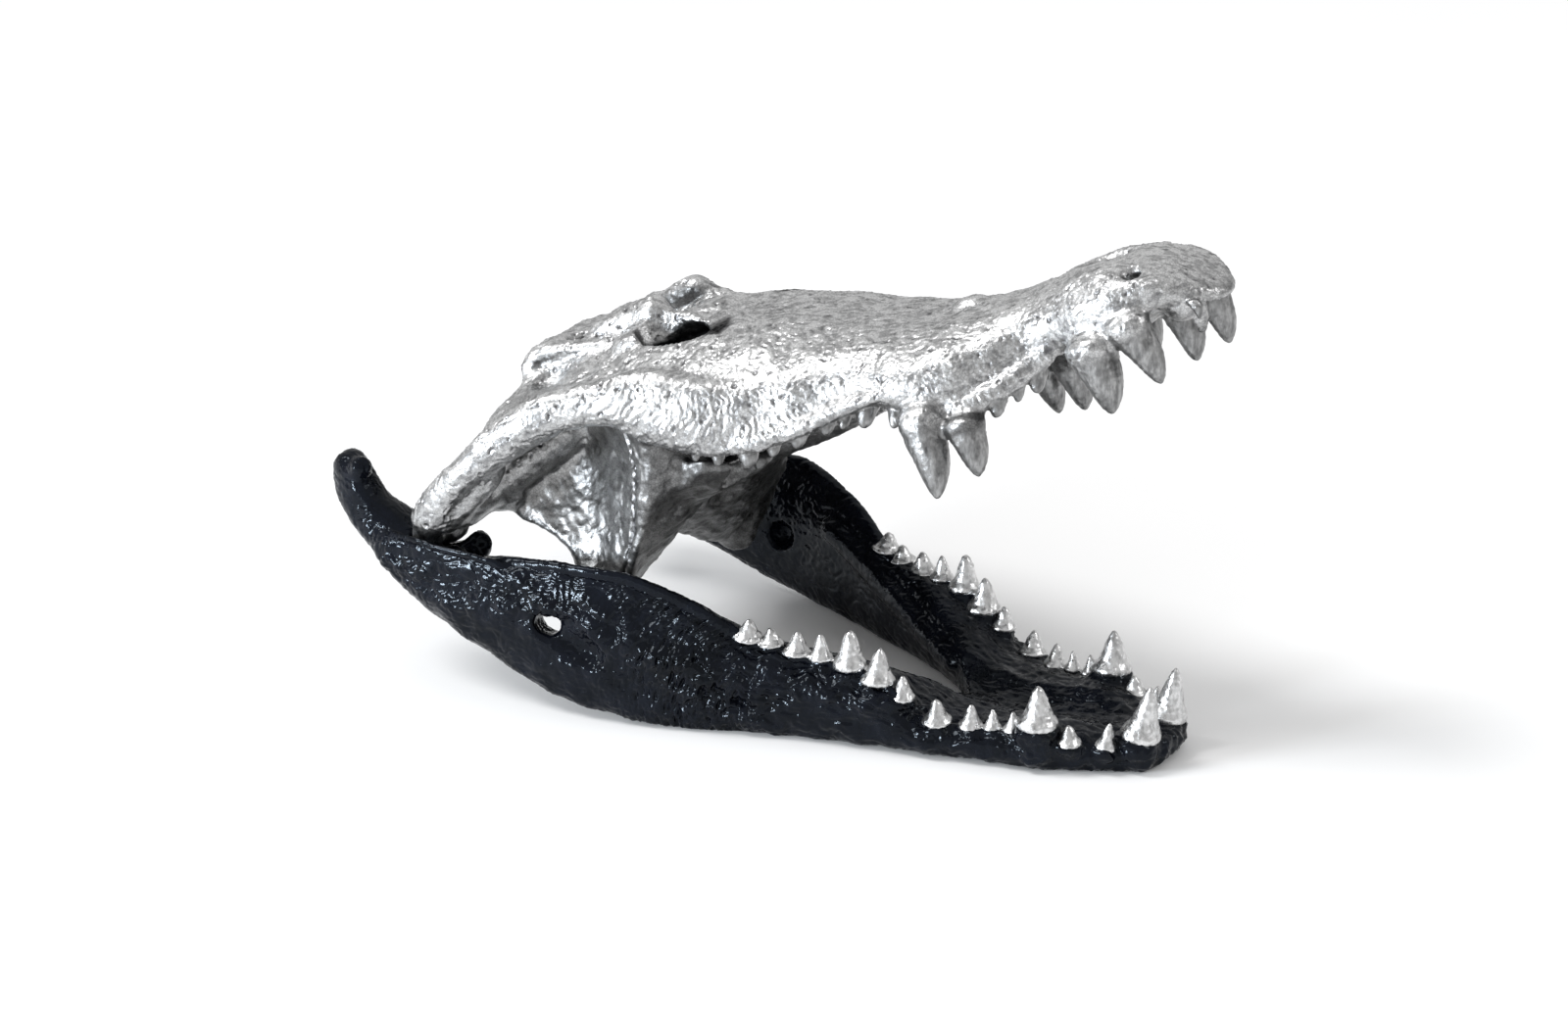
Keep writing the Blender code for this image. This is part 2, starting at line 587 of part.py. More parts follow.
# teeth of the lower jaw: base x, y, z, tip x, y, z, radius
LOWER_TEETH = {
    'L1': (.3120, .0215, .028, .3186, .0209, .0661, .0118),
    'L2': (.2930, .0400, .021, .2960, .0400, .0400, .0066),
    'L3': (.2700, .0535, .024, .2699, .0539, .0376, .0080),
    'L4': (.2480, .0600, .037, .2484, .0611, .0663, .0120),
    'L5': (.2290, .0620, .028, .2290, .0620, .0424, .0056),
    'L6': (.2137, .0640, .027, .2137, .0640, .0417, .0055),
    'L7': (.1975, .0670, .026, .1981, .0680, .0431, .0074),
    'L8': (.1740, .0750, .028, .1739, .0773, .0455, .0088),
    'L9': (.1470, .0790, .042, .1474, .0790, .0587, .0078),
    'L10': (.1280, .0820, .053, .1292, .0810, .0773, .0106),
    'L11': (.1080, .0880, .063, .1082, .0885, .0895, .0098),
    'L12': (.0860, .0920, .065, .0857, .0920, .0834, .0073),
    'L13': (.0675, .0950, .066, .0675, .0940, .0821, .0088),
    'L14': (.0480, .0990, .070, .0469, .0985, .0823, .0080),
    'L15': (.0310, .1040, .074, .0327, .1045, .0879, .0092),
}


def ramus(n=44, steps=110):
    s = np.linspace(RAMUS[0][0], RAMUS[-1][0], steps)
    p = table(RAMUS, s)
    a = np.linspace(0, 2 * math.pi, n, endpoint=False)
    rings = []
    for x, (yo0, yo1, t, z0, z1, keel) in zip(s, p):
        c, q = np.cos(a), np.sin(a)
        zc, h = (z0 + z1) / 2, (z1 - z0) / 2
        k = np.where(q < 0, 3.2, 2.7)
        z = zc + h * np.sign(q) * np.abs(q) ** (2 / k)
        f = (z - z0) / (z1 - z0)
        mid = yo0 + (yo1 - yo0) * f - t / 2
        y = mid + t / 2 * np.sign(c) * np.abs(c) ** (2 / k)
        z = z + keel * (1 - f) * (mid + t / 2 - y)
        rings.append(np.stack([np.full(n, x), y, z], 1))
    return loft(rings)


def mandible_solid():
    p = both(ramus())
    # knob of the articular on the inner side, in front of the joint
    p += both(ball((-.212, .104, .097), (.013, .014, .013)))
    # rim on the outer side of the joint
    p += both(tube([(-.266, .1520, .1020, .0050, .0140), (-.248, .1575, .1030, .0052, .0150),
                    (-.228, .1605, .1030, .0052, .0175), (-.208, .1612, .1010, .0052, .0170),
                    (-.186, .1608, .1010, .0054, .0170), (-.164, .1585, .0990, .0060, .0160),
                    (-.140, .1560, .0970, .0070, .0150), (-.110, .1550, .0950, .0060, .0120)],
                   k=2.3))
    # hind tip
    p += both(ball((-.2895, .1400, .1575), (.0085, .0090, .0085)))
    p += both(ball((-.306, .132, .148), (.012, .012, .014)))
    # gum round each tooth
    for name, (a, b, c, d, e, f, r) in LOWER_TEETH.items():
        root, tip = np.array((a, b, c)), np.array((d, e, f))
        path = [(*(root + (tip - root) * k), r * g)
                for k, g in ((-.60, .95), (-.32, 1.30), (-.08, 1.38), (.04, 1.27))]
        p += both(tube(path, up=(1, 0, 0), k=2.1))
    # swellings that carry the large teeth
    p += both(ball((.312, .021, .016), (.014, .014, .013)))
    p += both(ball((.248, .059, .020), (.015, .014, .014)))
    p += both(ball((.120, .086, .040), (.030, .012, .016)))
    # ridge along the inner side
    p += both(tube([(-.030, .113, .078, .005, .008), (.010, .100, .062, .0065, .010),
                    (.050, .079, .047, .0065, .010), (.090, .056, .034, .0065, .009),
                    (.135, .026, .024, .005, .007)]))
    p.append(ball((.290, 0, .013), (.036, .024, .010), k=2.6))
    return p


def mandible_cuts():
    c = []
    # side opening of each half
    c += both(tube([(-.092, .200, .0665, .038, .0180, -.45), (-.092, .162, .0655, .036, .0165, -.45),
                    (-.094, .150, .0650, .029, .0115, -.45)], up=(0, 0, 1), k=2.2))
    c += both(tube([(-.107, .165, .0735, .0115, .0090, -.3), (-.115, .145, .0700, .0110, .0085, -.3),
                    (-.125, .110, .0600, .0140, .0110, -.3)], up=(0, 0, 1), k=2.0, ends=False))
    c += both(tube([(-.080, .100, .055, .014, .014), (-.080, .132, .0555, .012, .0115),
                    (-.082, .141, .057, .007, .0075)], up=(0, 0, 1), k=2.0))
    # trough between the tooth rows at the front
    c.append(tube([(.105, 0, .066, .030, .028), (.150, 0, .055, .033, .034),
                   (.200, 0, .050, .036, .032), (.250, 0, .048, .034, .029),
                   (.282, 0, .043, .024, .020), (.302, 0, .044, .010, .014)], k=2.2))
    # joint hollow that takes the quadrate
    c += both(tube([(JOINT[0] - .0015, .090, .1145, .0165), (JOINT[0] - .0015, .126, .1165, .0165),
                    (JOINT[0] - .0015, .1575, .1170, .0165)], up=(1, 0, 0), ends=False))
    return c


def mandible(voxel, teeth_voxel):
    ob = remesh(as_object('mandible', mandible_solid()), voxel)
    tool = remesh(as_object('tool', mandible_cuts()), voxel)
    cut(ob, tool)
    remesh(ob, teeth_voxel)
    return ob


def lower_teeth():
    t = []
    for name, (a, b, c, d, e, f, r) in LOWER_TEETH.items():
        t += both(tooth((a, b, c), (d, e, f), r, sink=.10, bend=-.03,
                        blunt=.34 if name == 'L11' else .2, skirt=.24))
    return t


# ------------------------------------------------------------------ pieces

def whole(ob):
    """Keep the largest connected skin: closed pockets inside are filled."""
    bm = bmesh.new()
    bm.from_mesh(ob.data)
    seen, best = set(), []
    for v in bm.verts:
        if v in seen:
            continue
        island, stack = [], [v]
        seen.add(v)
        while stack:
            q = stack.pop()
            island.append(q)
            for e in q.link_edges:
                w = e.other_vert(q)
                if w not in seen:
                    seen.add(w)
                    stack.append(w)
        if len(island) > len(best):
            best = island
    keep = set(best)
    bmesh.ops.delete(bm, geom=[v for v in bm.verts if v not in keep], context='VERTS')
    bm.to_mesh(ob.data)
    bm.free()
    return ob


def with_teeth(ob, teeth, voxel, name):
    """The bone and its teeth as one closed skin."""
    shape = (verts(ob), [tuple(p.vertices) for p in ob.data.polygons])
    bpy.data.objects.remove(ob, do_unlink=True)
    return whole(remesh(as_object(name, [shape] + teeth), voxel))


def thin(ob, tris):
    """Fewer and larger facets that keep the form."""
    m = ob.modifiers.new('thin', 'DECIMATE')
    m.ratio = tris / (2.0 * len(ob.data.polygons))
    m.use_collapse_triangulate = True
    return settle(ob)


def box(name, low, high):
    lo, hi = np.array(low, float), np.array(high, float)
    corners = [(lo[0], lo[1], lo[2]), (hi[0], lo[1], lo[2]), (hi[0], hi[1], lo[2]),
               (lo[0], hi[1], lo[2]), (lo[0], lo[1], hi[2]), (hi[0], lo[1], hi[2]),
               (hi[0], hi[1], hi[2]), (lo[0], hi[1], hi[2])]
    faces = [(0, 3, 2, 1), (4, 5, 6, 7), (0, 1, 5, 4), (1, 2, 6, 5), (2, 3, 7, 6),
             (3, 0, 4, 7)]
    return as_object(name, [(np.array(corners), faces)])


def twin(ob, name):
    new = bpy.data.objects.new(name, ob.data.copy())
    bpy.context.scene.collection.objects.link(new)
    return new


def finish_piece(ob, name, material):
    ob.name = name
    ob.data.name = name
    ob.data.materials.clear()
    ob.data.materials.append(material)
    ob.data.shade_smooth()
    ob.data.set_sharp_from_angle(angle=math.radians(50))


def principled(name, colour, metallic, roughness, coat=0.0):
    m = bpy.data.materials.new(name)
    m.use_nodes = True
    b = m.node_tree.nodes['Principled BSDF']
    b.inputs['Base Color'].default_value = (*colour, 1)
    b.inputs['Metallic'].default_value = metallic
    b.inputs['Roughness'].default_value = roughness
    b.inputs['Coat Weight'].default_value = coat
    return m


def build():
    silver = principled('silver_leaf', (.62, .62, .63), 1.0, .24)
    black = principled('black_gloss', (.010, .011, .016), 0.0, .14, .6)

    skull = relax(cranium(.0022, .0020), 9)
    skull = with_teeth(skull, upper_teeth(), .0019, 'cranium_whole')
    thin(skull, CRANIUM_TRIS)
    rear = twin(skull, 'braincase')
    cut(skull, box('front_box', (PARTING_U + GAP / 2, -1, -1), (1, 1, 1)), 'INTERSECT')
    cut(rear, box('rear_box', (-1, -1, -1), (PARTING_U - GAP / 2, 1, 1)), 'INTERSECT')
    for ob in (skull, rear):
        put_verts(ob, tip_up(verts(ob)) + np.array([SHIFT_X, 0, -FLOOR]))

    jaw = relax(mandible(.0022, .0020), 5)
    jaw = with_teeth(jaw, lower_teeth(), .0019, 'jaw_whole')
    thin(jaw, JAW_TRIS)
    right = twin(jaw, 'lower_jaw_right')
    cut(jaw, box('left_box', (-1, GAP / 2, FLOOR), (1, 1, 1)), 'INTERSECT')
    cut(right, box('right_box', (-1, -1, FLOOR), (1, -GAP / 2, 1)), 'INTERSECT')
    for ob in (jaw, right):
        put_verts(ob, verts(ob) + np.array([SHIFT_X, 0, -FLOOR]))

    finish_piece(skull, 'snout', silver)
    finish_piece(rear, 'braincase', silver)
    finish_piece(jaw, 'lower_jaw_left', black)
    finish_piece(right, 'lower_jaw_right', black)
    # the floor face of each half of the jaw, and the face at the parting, are planes


build()
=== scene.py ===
"""Cast resin crocodile skull: silver-leaf upper skull and teeth, gloss-black
lower jaw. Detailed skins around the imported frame, in metres."""
import math

import bpy
import numpy as np
from mathutils import Euler, Matrix, Vector


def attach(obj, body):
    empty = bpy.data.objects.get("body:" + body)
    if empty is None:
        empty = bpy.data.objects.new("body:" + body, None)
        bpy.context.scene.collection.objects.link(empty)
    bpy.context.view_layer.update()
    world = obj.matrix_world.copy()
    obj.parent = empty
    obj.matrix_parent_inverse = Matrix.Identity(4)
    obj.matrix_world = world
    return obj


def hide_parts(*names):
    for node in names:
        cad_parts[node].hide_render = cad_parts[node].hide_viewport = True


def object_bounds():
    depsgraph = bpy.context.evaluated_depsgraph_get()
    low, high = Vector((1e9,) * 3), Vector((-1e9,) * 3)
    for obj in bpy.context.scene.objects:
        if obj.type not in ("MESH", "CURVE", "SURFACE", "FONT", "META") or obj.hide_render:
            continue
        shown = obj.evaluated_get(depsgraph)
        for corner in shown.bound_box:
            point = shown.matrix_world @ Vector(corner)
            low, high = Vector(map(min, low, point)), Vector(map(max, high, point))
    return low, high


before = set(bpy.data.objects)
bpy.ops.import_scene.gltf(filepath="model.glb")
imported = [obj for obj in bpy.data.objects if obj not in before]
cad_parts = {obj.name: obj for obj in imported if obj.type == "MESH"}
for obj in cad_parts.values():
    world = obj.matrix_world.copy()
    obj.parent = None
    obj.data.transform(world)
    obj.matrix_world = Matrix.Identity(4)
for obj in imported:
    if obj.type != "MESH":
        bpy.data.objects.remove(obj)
CAD_BOX = [list(c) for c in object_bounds()]

GAPE = math.radians(27.0)        # angle between the upper skull and the floor
JOINT = (-0.226, 0.0, 0.116)     # axis of the jaw joints
SHIFT_X = -0.0205                # centres the whole object over the origin
FLOOR = 0.0010                   # the lower jaw's underside is level up to here

VOXEL = 0.00125

# ------------------------------------------------------------------ helpers

def table(rows, s):
    """Smooth curve through a short table of knots; first column is the key."""
    a = np.array(rows, float)
    x, y = a[:, 0], a[:, 1:]
    s = np.atleast_1d(np.asarray(s, float))
    d = np.diff(y, axis=0) / np.diff(x)[:, None]
    m = np.empty_like(y)
    m[0], m[-1] = d[0], d[-1]
    lim = 3 * np.minimum(abs(d[1:]), abs(d[:-1]))
    m[1:-1] = np.where(d[1:] * d[:-1] > 0,
                       np.clip((d[1:] + d[:-1]) / 2, -lim, lim), 0)
    i = np.clip(np.searchsorted(x, s, side='right') - 1, 0, len(x) - 2)
    h = (x[i + 1] - x[i])[:, None]
    t = np.clip((s - x[i])[:, None] / h, 0, 1)
    return ((2 * t**3 - 3 * t**2 + 1) * y[i] + (t**3 - 2 * t**2 + t) * h * m[i]
            + (3 * t**2 - 2 * t**3) * y[i + 1] + (t**3 - t**2) * h * m[i + 1])


def spow(v, k):
    return np.sign(v) * np.abs(v) ** (2.0 / k)


def loft(rings):
    """Closed skin over a stack of rings, shape (m, n, 3), with fan caps."""
    rings = np.asarray(rings, float)
    m, n = rings.shape[:2]
    v = np.vstack([rings.reshape(-1, 3), rings[0].mean(0), rings[-1].mean(0)])
    f = []
    for i in range(m - 1):
        for j in range(n):
            k = (j + 1) % n
            f.append((i * n + j, i * n + k, (i + 1) * n + k, (i + 1) * n + j))
    for j in range(n):
        k = (j + 1) % n
        f.append((m * n, k, j))
        f.append((m * n + 1, (m - 1) * n + j, (m - 1) * n + k))
    return outward(v, f)


def outward(v, f):
    """Turn a closed skin so that its faces point out."""
    vol = 0.0
    for q in f:
        for j in range(1, len(q) - 1):
            vol += np.dot(v[q[0]], np.cross(v[q[j]], v[q[j + 1]]))
    if vol < 0:
        f = [tuple(reversed(q)) for q in f]
    return v, f


def tube(rows, k=2.2, n=28, steps=26, up=(0, 0, 1), ends=True):
    """Bar along a smooth path. rows: x, y, z, half side, half height, roll."""
    r = np.array(rows, float)
    if r.shape[1] == 4:
        r = np.hstack([r, r[:, 3:4]])
    if r.shape[1] == 5:
        r = np.hstack([r, np.zeros((len(r), 1))])
    seg = np.linalg.norm(np.diff(r[:, :3], axis=0), axis=1)
    key = np.concatenate([[0], np.cumsum(seg)])
    s = np.linspace(0, key[-1], steps)
    if ends:
        e = min(r[0, 3:5].min(), key[-1] / 3)
        f = min(r[-1, 3:5].min(), key[-1] / 3)
        s = np.unique(np.concatenate([s, e * np.array([.03, .15, .4, .7]),
                                      key[-1] - f * np.array([.03, .15, .4, .7])]))
    p = table(np.hstack([key[:, None], r]), s)
    c = p[:, :3]
    t = np.gradient(c, s, axis=0)
    t /= np.linalg.norm(t, axis=1)[:, None]
    side = np.cross(np.array(up, float), t)
    side /= np.linalg.norm(side, axis=1)[:, None]
    top = np.cross(t, side)
    a = np.linspace(0, 2 * math.pi, n, endpoint=False)
    ca, sa = spow(np.cos(a), k), spow(np.sin(a), k)
    rings = []
    for i in range(len(s)):
        g = 1.0
        if ends:
            g = min(1.0, math.sqrt(max(0.0, 1 - (1 - min(1, s[i] / e))**2)) + .04,
                    math.sqrt(max(0.0, 1 - (1 - min(1, (key[-1] - s[i]) / f))**2)) + .04)
        q = p[i, 5]
        S = side[i] * math.cos(q) + top[i] * math.sin(q)
        T = top[i] * math.cos(q) - side[i] * math.sin(q)
        rings.append(c[i] + g * (np.outer(ca * p[i, 3], S) + np.outer(sa * p[i, 4], T)))
    return loft(rings)


def ball(c, r, tilt=(0, 0, 0), k=2.0, n=28, m=16):
    """Ellipsoid, or a softened block where k is above 2."""
    b = np.linspace(-math.pi / 2, math.pi / 2, m + 2)[1:-1]
    a = np.linspace(0, 2 * math.pi, n, endpoint=False)
    ca, sa = spow(np.cos(a), k), spow(np.sin(a), k)
    rings = []
    for q in b:
        g, h = spow(math.cos(q), k), spow(math.sin(q), k)
        rings.append(np.stack([ca * g * r[0], sa * g * r[1],
                               np.full(n, h * r[2])], 1))
    v, f = loft(rings)
    rot = np.array(Euler(tilt).to_matrix())
    return v @ rot.T + np.array(c, float), f


def tooth(base, tip, r, sink=0.5, bend=0.0, blunt=0.16, flat=1.0, n=20, full=False,
          skirt=0.0):
    """Cone with a swollen root, a rounded point and a slight curve; a full one
    keeps its width further down and has no swelling; a skirt widens the foot."""
    b, p = np.array(base, float), np.array(tip, float)
    ax = p - b
    h = np.linalg.norm(ax)
    ax /= h
    side = np.cross(ax, (0, 1, 0))
    side /= np.linalg.norm(side)
    out = np.cross(ax, side)
    rings = []
    a = np.linspace(0, 2 * math.pi, n, endpoint=False)
    for t in np.concatenate([np.linspace(-sink, .9, 13), [.95, .98, .995]]):
        if full:
            g = (1 - max(0, t) ** 1.5) ** .6
        elif t < 0:
            g = 1.0 + .12 * math.sin(math.pi * min(1, -t / sink))
        else:
            g = (1 - t) ** .78 * (1 - blunt) + blunt * math.sqrt(max(0, 1 - t**6))
            g *= 1 + .10 * math.exp(-(t / .12)**2)
        g += skirt * math.exp(-(max(0, t) / .22) ** 2)
        c = b + ax * h * t + side * bend * h * (t * (1 - t)) * 4
        rings.append(c + r * g * (np.outer(np.cos(a), side) * flat
                                  + np.outer(np.sin(a), out)))
    return loft(rings)


def both(shape):
    """A shape and its mirror image across the middle plane."""
    v, f = shape
    w = v * np.array([1, -1, 1.0])
    return [shape, (w, [tuple(reversed(q)) for q in f])]


def as_object(name, parts):
    vs, fs, k = [], [], 0
    for v, f in parts:
        vs.append(v)
        fs += [tuple(i + k for i in q) for q in f]
        k += len(v)
    me = bpy.data.meshes.new(name)
    me.from_pydata(np.vstack(vs).tolist(), [], fs)
    me.update()
    ob = bpy.data.objects.new(name, me)
    bpy.context.scene.collection.objects.link(ob)
    return ob


def settle(ob):
    """Make the modifiers' result the object's own mesh."""
    dg = bpy.context.evaluated_depsgraph_get()
    dg.update()
    me = bpy.data.meshes.new_from_object(ob.evaluated_get(dg))
    old = ob.data
    ob.modifiers.clear()
    ob.data = me
    bpy.data.meshes.remove(old)
    return ob


def remesh(ob, voxel):
    m = ob.modifiers.new('remesh', 'REMESH')
    m.mode = 'VOXEL'
    m.voxel_size = voxel
    m.adaptivity = 0
    return settle(ob)


def relax(ob, times, factor=0.5):
    m = ob.modifiers.new('smooth', 'SMOOTH')
    m.factor, m.iterations = factor, times
    return settle(ob)


def cut(ob, tool, operation='DIFFERENCE'):
    tool.hide_render = True
    tool.display_type = 'WIRE'
    m = ob.modifiers.new('cut', 'BOOLEAN')
    m.operation, m.object, m.solver = operation, tool, 'EXACT'
    settle(ob)
    bpy.data.objects.remove(tool, do_unlink=True)
    return ob


def verts(ob):
    a = np.empty(len(ob.data.vertices) * 3)
    ob.data.vertices.foreach_get('co', a)
    return a.reshape(-1, 3)


def put_verts(ob, v):
    ob.data.vertices.foreach_set('co', np.ascontiguousarray(v, float).ravel())
    ob.data.update()


def normals(ob):
    a = np.empty(len(ob.data.vertices) * 3)
    ob.data.vertex_normals.foreach_get('vector', a)
    return a.reshape(-1, 3)


def bump(x, c, s):
    """Smooth hill of height 1 at c, with width s."""
    return np.exp(-((x - c) / s) ** 2)


# ------------------------------------------------------------------ cranium
# The cranium is drawn level in its own frame (u forward from the jaw joint,
# y to the animal's left, w up), then tipped up by GAPE about the joint.

# u, midline height, half width, margin height, height of the widest point, dome
ROSTRUM = [
    (.190, .078, .100, .020, .045, 2.3),
    (.215, .077, .110, .000, .028, 2.3),
    (.240, .0725, .113, -.016, .012, 2.3),
    (.270, .064, .111, -.030, -.003, 2.3),
    (.310, .050, .103, -.0365, -.013, 2.3),
    (.345, .035, .094, -.034, -.014, 2.3),
    (.375, .024, .087, -.034, -.016, 2.3),
    (.408, .0145, .088, -.050, -.028, 2.3),
    (.435, .0085, .082, -.052, -.032, 2.3),
    (.465, .0055, .066, -.048, -.030, 2.3),
    (.500, .0040, .049, -.044, -.025, 2.3),
    (.520, .0060, .050, -.045, -.024, 2.3),
    (.545, .0095, .057, -.049, -.026, 2.4),
    (.570, .0065, .056, -.045, -.023, 2.4),
    (.590, -.0015, .050, -.038, -.019, 2.4),
    (.608, -.0130, .042, -.039, -.023, 2.4),
    (.621, -.0250, .030, -.043, -.031, 2.3),
    (.630, -.0345, .017, -.047, -.039, 2.2),
    (.634, -.0405, .005, -.047, -.043, 2.0),
]

# teeth of the upper jaw: base u, y, w, tip u, y, w, radius, and the sides that
# have it (1 the animal's left, -1 its right, 0 both)
BIG = 0.0110                     # teeth wider than this grow from gum-like cones
UPPER_TEETH = {
    'P1': (.6055, .0235, -.050, .6020, .0265, -.0824, .0118, 1),
    'P2': (.6215, .0310, -.0440, .6200, .0310, -.0530, .0042, -1),
    'P3 left': (.5695, .0380, -.0556, .5671, .0360, -.0878, .0128, 1),
    'P3 right': (.5770, .0470, -.0489, .5781, .0400, -.0857, .0132, -1),
    'P4 left': (.533, .0500, -.044, .5255, .0480, -.0800, .0125, 1),
    'P4 right': (.5425, .0510, -.0560, .5384, .0500, -.0934, .0158, -1),
    'M1': (.4890, .0440, -.0500, .4860, .0485, -.0625, .0076, 0),
    'M2': (.4760, .0520, -.0520, .4745, .0570, -.0630, .0058, 0),
    'M3': (.4620, .0620, -.0560, .4595, .0680, -.0670, .0074, 0),
    'M4': (.4413, .0820, -.0713, .4372, .0830, -.1005, .0126, 0),
    'M5 left': (.4120, .0880, -.0620, .4079, .0960, -.0978, .0128, 1),
    'M5 right': (.4110, .0870, -.0620, .4064, .0960, -.1046, .0148, -1),
    'M6': (.3900, .0740, -.0350, .3880, .0860, -.0478, .0076, 0),
    'M7': (.3670, .0760, -.0270, .3645, .0860, -.0405, .0092, 0),
    'M8': (.3500, .0790, -.0240, .3490, .0880, -.0365, .0065, 0),
    'M9': (.3350, .0810, -.0240, .3340, .0890, -.0358, .0080, 0),
    'M10': (.3110, .0860, -.0250, .3090, .0930, -.0375, .0088, 0),
    'M11': (.2910, .0910, -.0240, .2900, .0980, -.0370, .0074, 0),
    'M12': (.2700, .0950, -.0230, .2690, .1020, -.0385, .0099, 0),
    'M13': (.2480, .0980, -.0150, .2465, .1050, -.0295, .0073, 0),
    'M14': (.2320, .1010, -.0080, .2310, .1070, -.0205, .0054, 0),
}


def on_sides(shape, side):
    """The left shape, its mirror image, or both."""
    pair = both(shape)
    return pair if side == 0 else pair[:1] if side > 0 else pair[1:]


def rostrum(n=64, steps=90):
    s = ROSTRUM[0][0] + (ROSTRUM[-1][0] - ROSTRUM[0][0]) * np.linspace(0, 1, steps) ** .9
    p = table(ROSTRUM, s)
    a = np.linspace(0, 2 * math.pi, n, endpoint=False)
    rings = []
    for u, (T, W, M, S, k) in zip(s, p):
        c, q = np.cos(a), np.sin(a)
        kk = np.where(q >= 0, k, 3.4)
        y = W * np.sign(c) * np.abs(c) ** (2 / kk)
        w = np.where(q >= 0, S + (T - S) * np.abs(q) ** (2 / kk),
                     S - (S - M) * np.abs(q) ** (2 / kk))
        rings.append(np.stack([np.full(n, u), y, w], 1))
    return loft(rings)


def slab(rows, thick, k=2.6, n=30, steps=22):
    """Plate lofted sideways. rows: y, u rear, w rear, u front, w front."""
    r = np.array(rows, float)
    s = np.linspace(r[0, 0], r[-1, 0], steps)
    p = table(r, s)
    th = table([(q[0], t) for q, t in zip(rows, thick)], s)[:, 0]
    a = np.linspace(0, 2 * math.pi, n, endpoint=False)
    rings = []
    for y, (u0, w0, u1, w1), h in zip(s, p, th):
        c = np.array([(u0 + u1) / 2, y, (w0 + w1) / 2])
        d = np.array([(u1 - u0) / 2, 0, (w1 - w0) / 2])
        nn = np.array([-d[2], 0, d[0]]) / (np.hypot(d[0], d[2]) + 1e-9)
        rings.append(c + np.outer(spow(np.cos(a), k), d)
                     + np.outer(spow(np.sin(a), k) * h, nn))
    return loft(rings)


def sheet(rows, k=2.6, n=30, steps=24):
    """Upright plate. rows: u, y top, w top, y foot, w foot, half thickness."""
    r = np.array(rows, float)
    s = np.linspace(r[0, 0], r[-1, 0], steps)
    p = table(r, s)
    a = np.linspace(0, 2 * math.pi, n, endpoint=False)
    rings = []
    for u, (y0, w0, y1, w1, h) in zip(s, p):
        c = np.array([u, (y0 + y1) / 2, (w0 + w1) / 2])
        d = np.array([0, (y1 - y0) / 2, (w1 - w0) / 2])
        nn = np.array([0, -d[2], d[1]]) / (np.hypot(d[1], d[2]) + 1e-9)
        rings.append(c + np.outer(spow(np.cos(a), k), d)
                     + np.outer(spow(np.sin(a), k) * h, nn))
    return loft(rings)


def stack(levels, n=48):
    """Solid lofted upward from outlines in the u-y plane, each of the same few
    corners, with smooth sides."""
    w = np.array([q[0] for q in levels])
    corners = np.array([np.array(q[1:], float).ravel() for q in levels])
    key = np.linspace(w[0], w[-1], 40)
    rows = table(np.hstack([w[:, None], corners]), key)
    t = np.linspace(0, 1, n // (corners.shape[1] // 2), endpoint=False)
    rings = []
    for z, row in zip(key, rows):
        c = row.reshape(-1, 2)
        a, b, d, e = np.roll(c, 1, 0), c, np.roll(c, -1, 0), np.roll(c, -2, 0)
        pts = []
        for i in range(len(c)):
            m0, m1 = (d[i] - a[i]) * .42, (e[i] - b[i]) * .42
            for q in t:
                pts.append((2 * q**3 - 3 * q**2 + 1) * b[i] + (q**3 - 2 * q**2 + q) * m0
                           + (3 * q**2 - 2 * q**3) * d[i] + (q**3 - q**2) * m1)
        pts = np.array(pts)
        rings.append(np.hstack([pts, np.full((len(pts), 1), z)]))
    return loft(rings)


# wing of the palate on the left side: height, then corners (u, y): inner rear,
# outer rear, wall of the chamber, column rear, ridge, front edge, inner front, inner
WING = [
    (-.117, (.078, .093), (.079, .098), (.083, .100), (.088, .100), (.094, .099), (.093, .095),
     (.088, .092), (.082, .091)),
    (-.102, (.073, .087), (.073, .099), (.084, .103), (.098, .104), (.112, .103), (.110, .092),
     (.100, .087), (.086, .085)),
    (-.080, (.079, .083), (.080, .099), (.100, .101), (.122, .104), (.138, .105), (.134, .090),
     (.122, .083), (.100, .079)),
    (-.055, (.082, .080), (.083, .098), (.108, .093), (.140, .101), (.1615, .108), (.164, .086),
     (.160, .070), (.118, .073)),
    (-.030, (.068, .081), (.069, .098), (.104, .082), (.146, .095), (.180, .110), (.204, .084),
     (.203, .054), (.120, .064)),
    (-.012, (.052, .084), (.053, .100), (.102, .073), (.150, .090), (.190, .110), (.210, .085),
     (.206, .053), (.120, .055)),
    (.010, (.048, .074), (.052, .098), (.104, .066), (.152, .086), (.195, .111), (.216, .090),
     (.208, .062), (.120, .044)),
    (.045, (.044, .060), (.050, .090), (.106, .062), (.154, .086), (.200, .110), (.222, .094),
     (.212, .060), (.120, .036)),
]


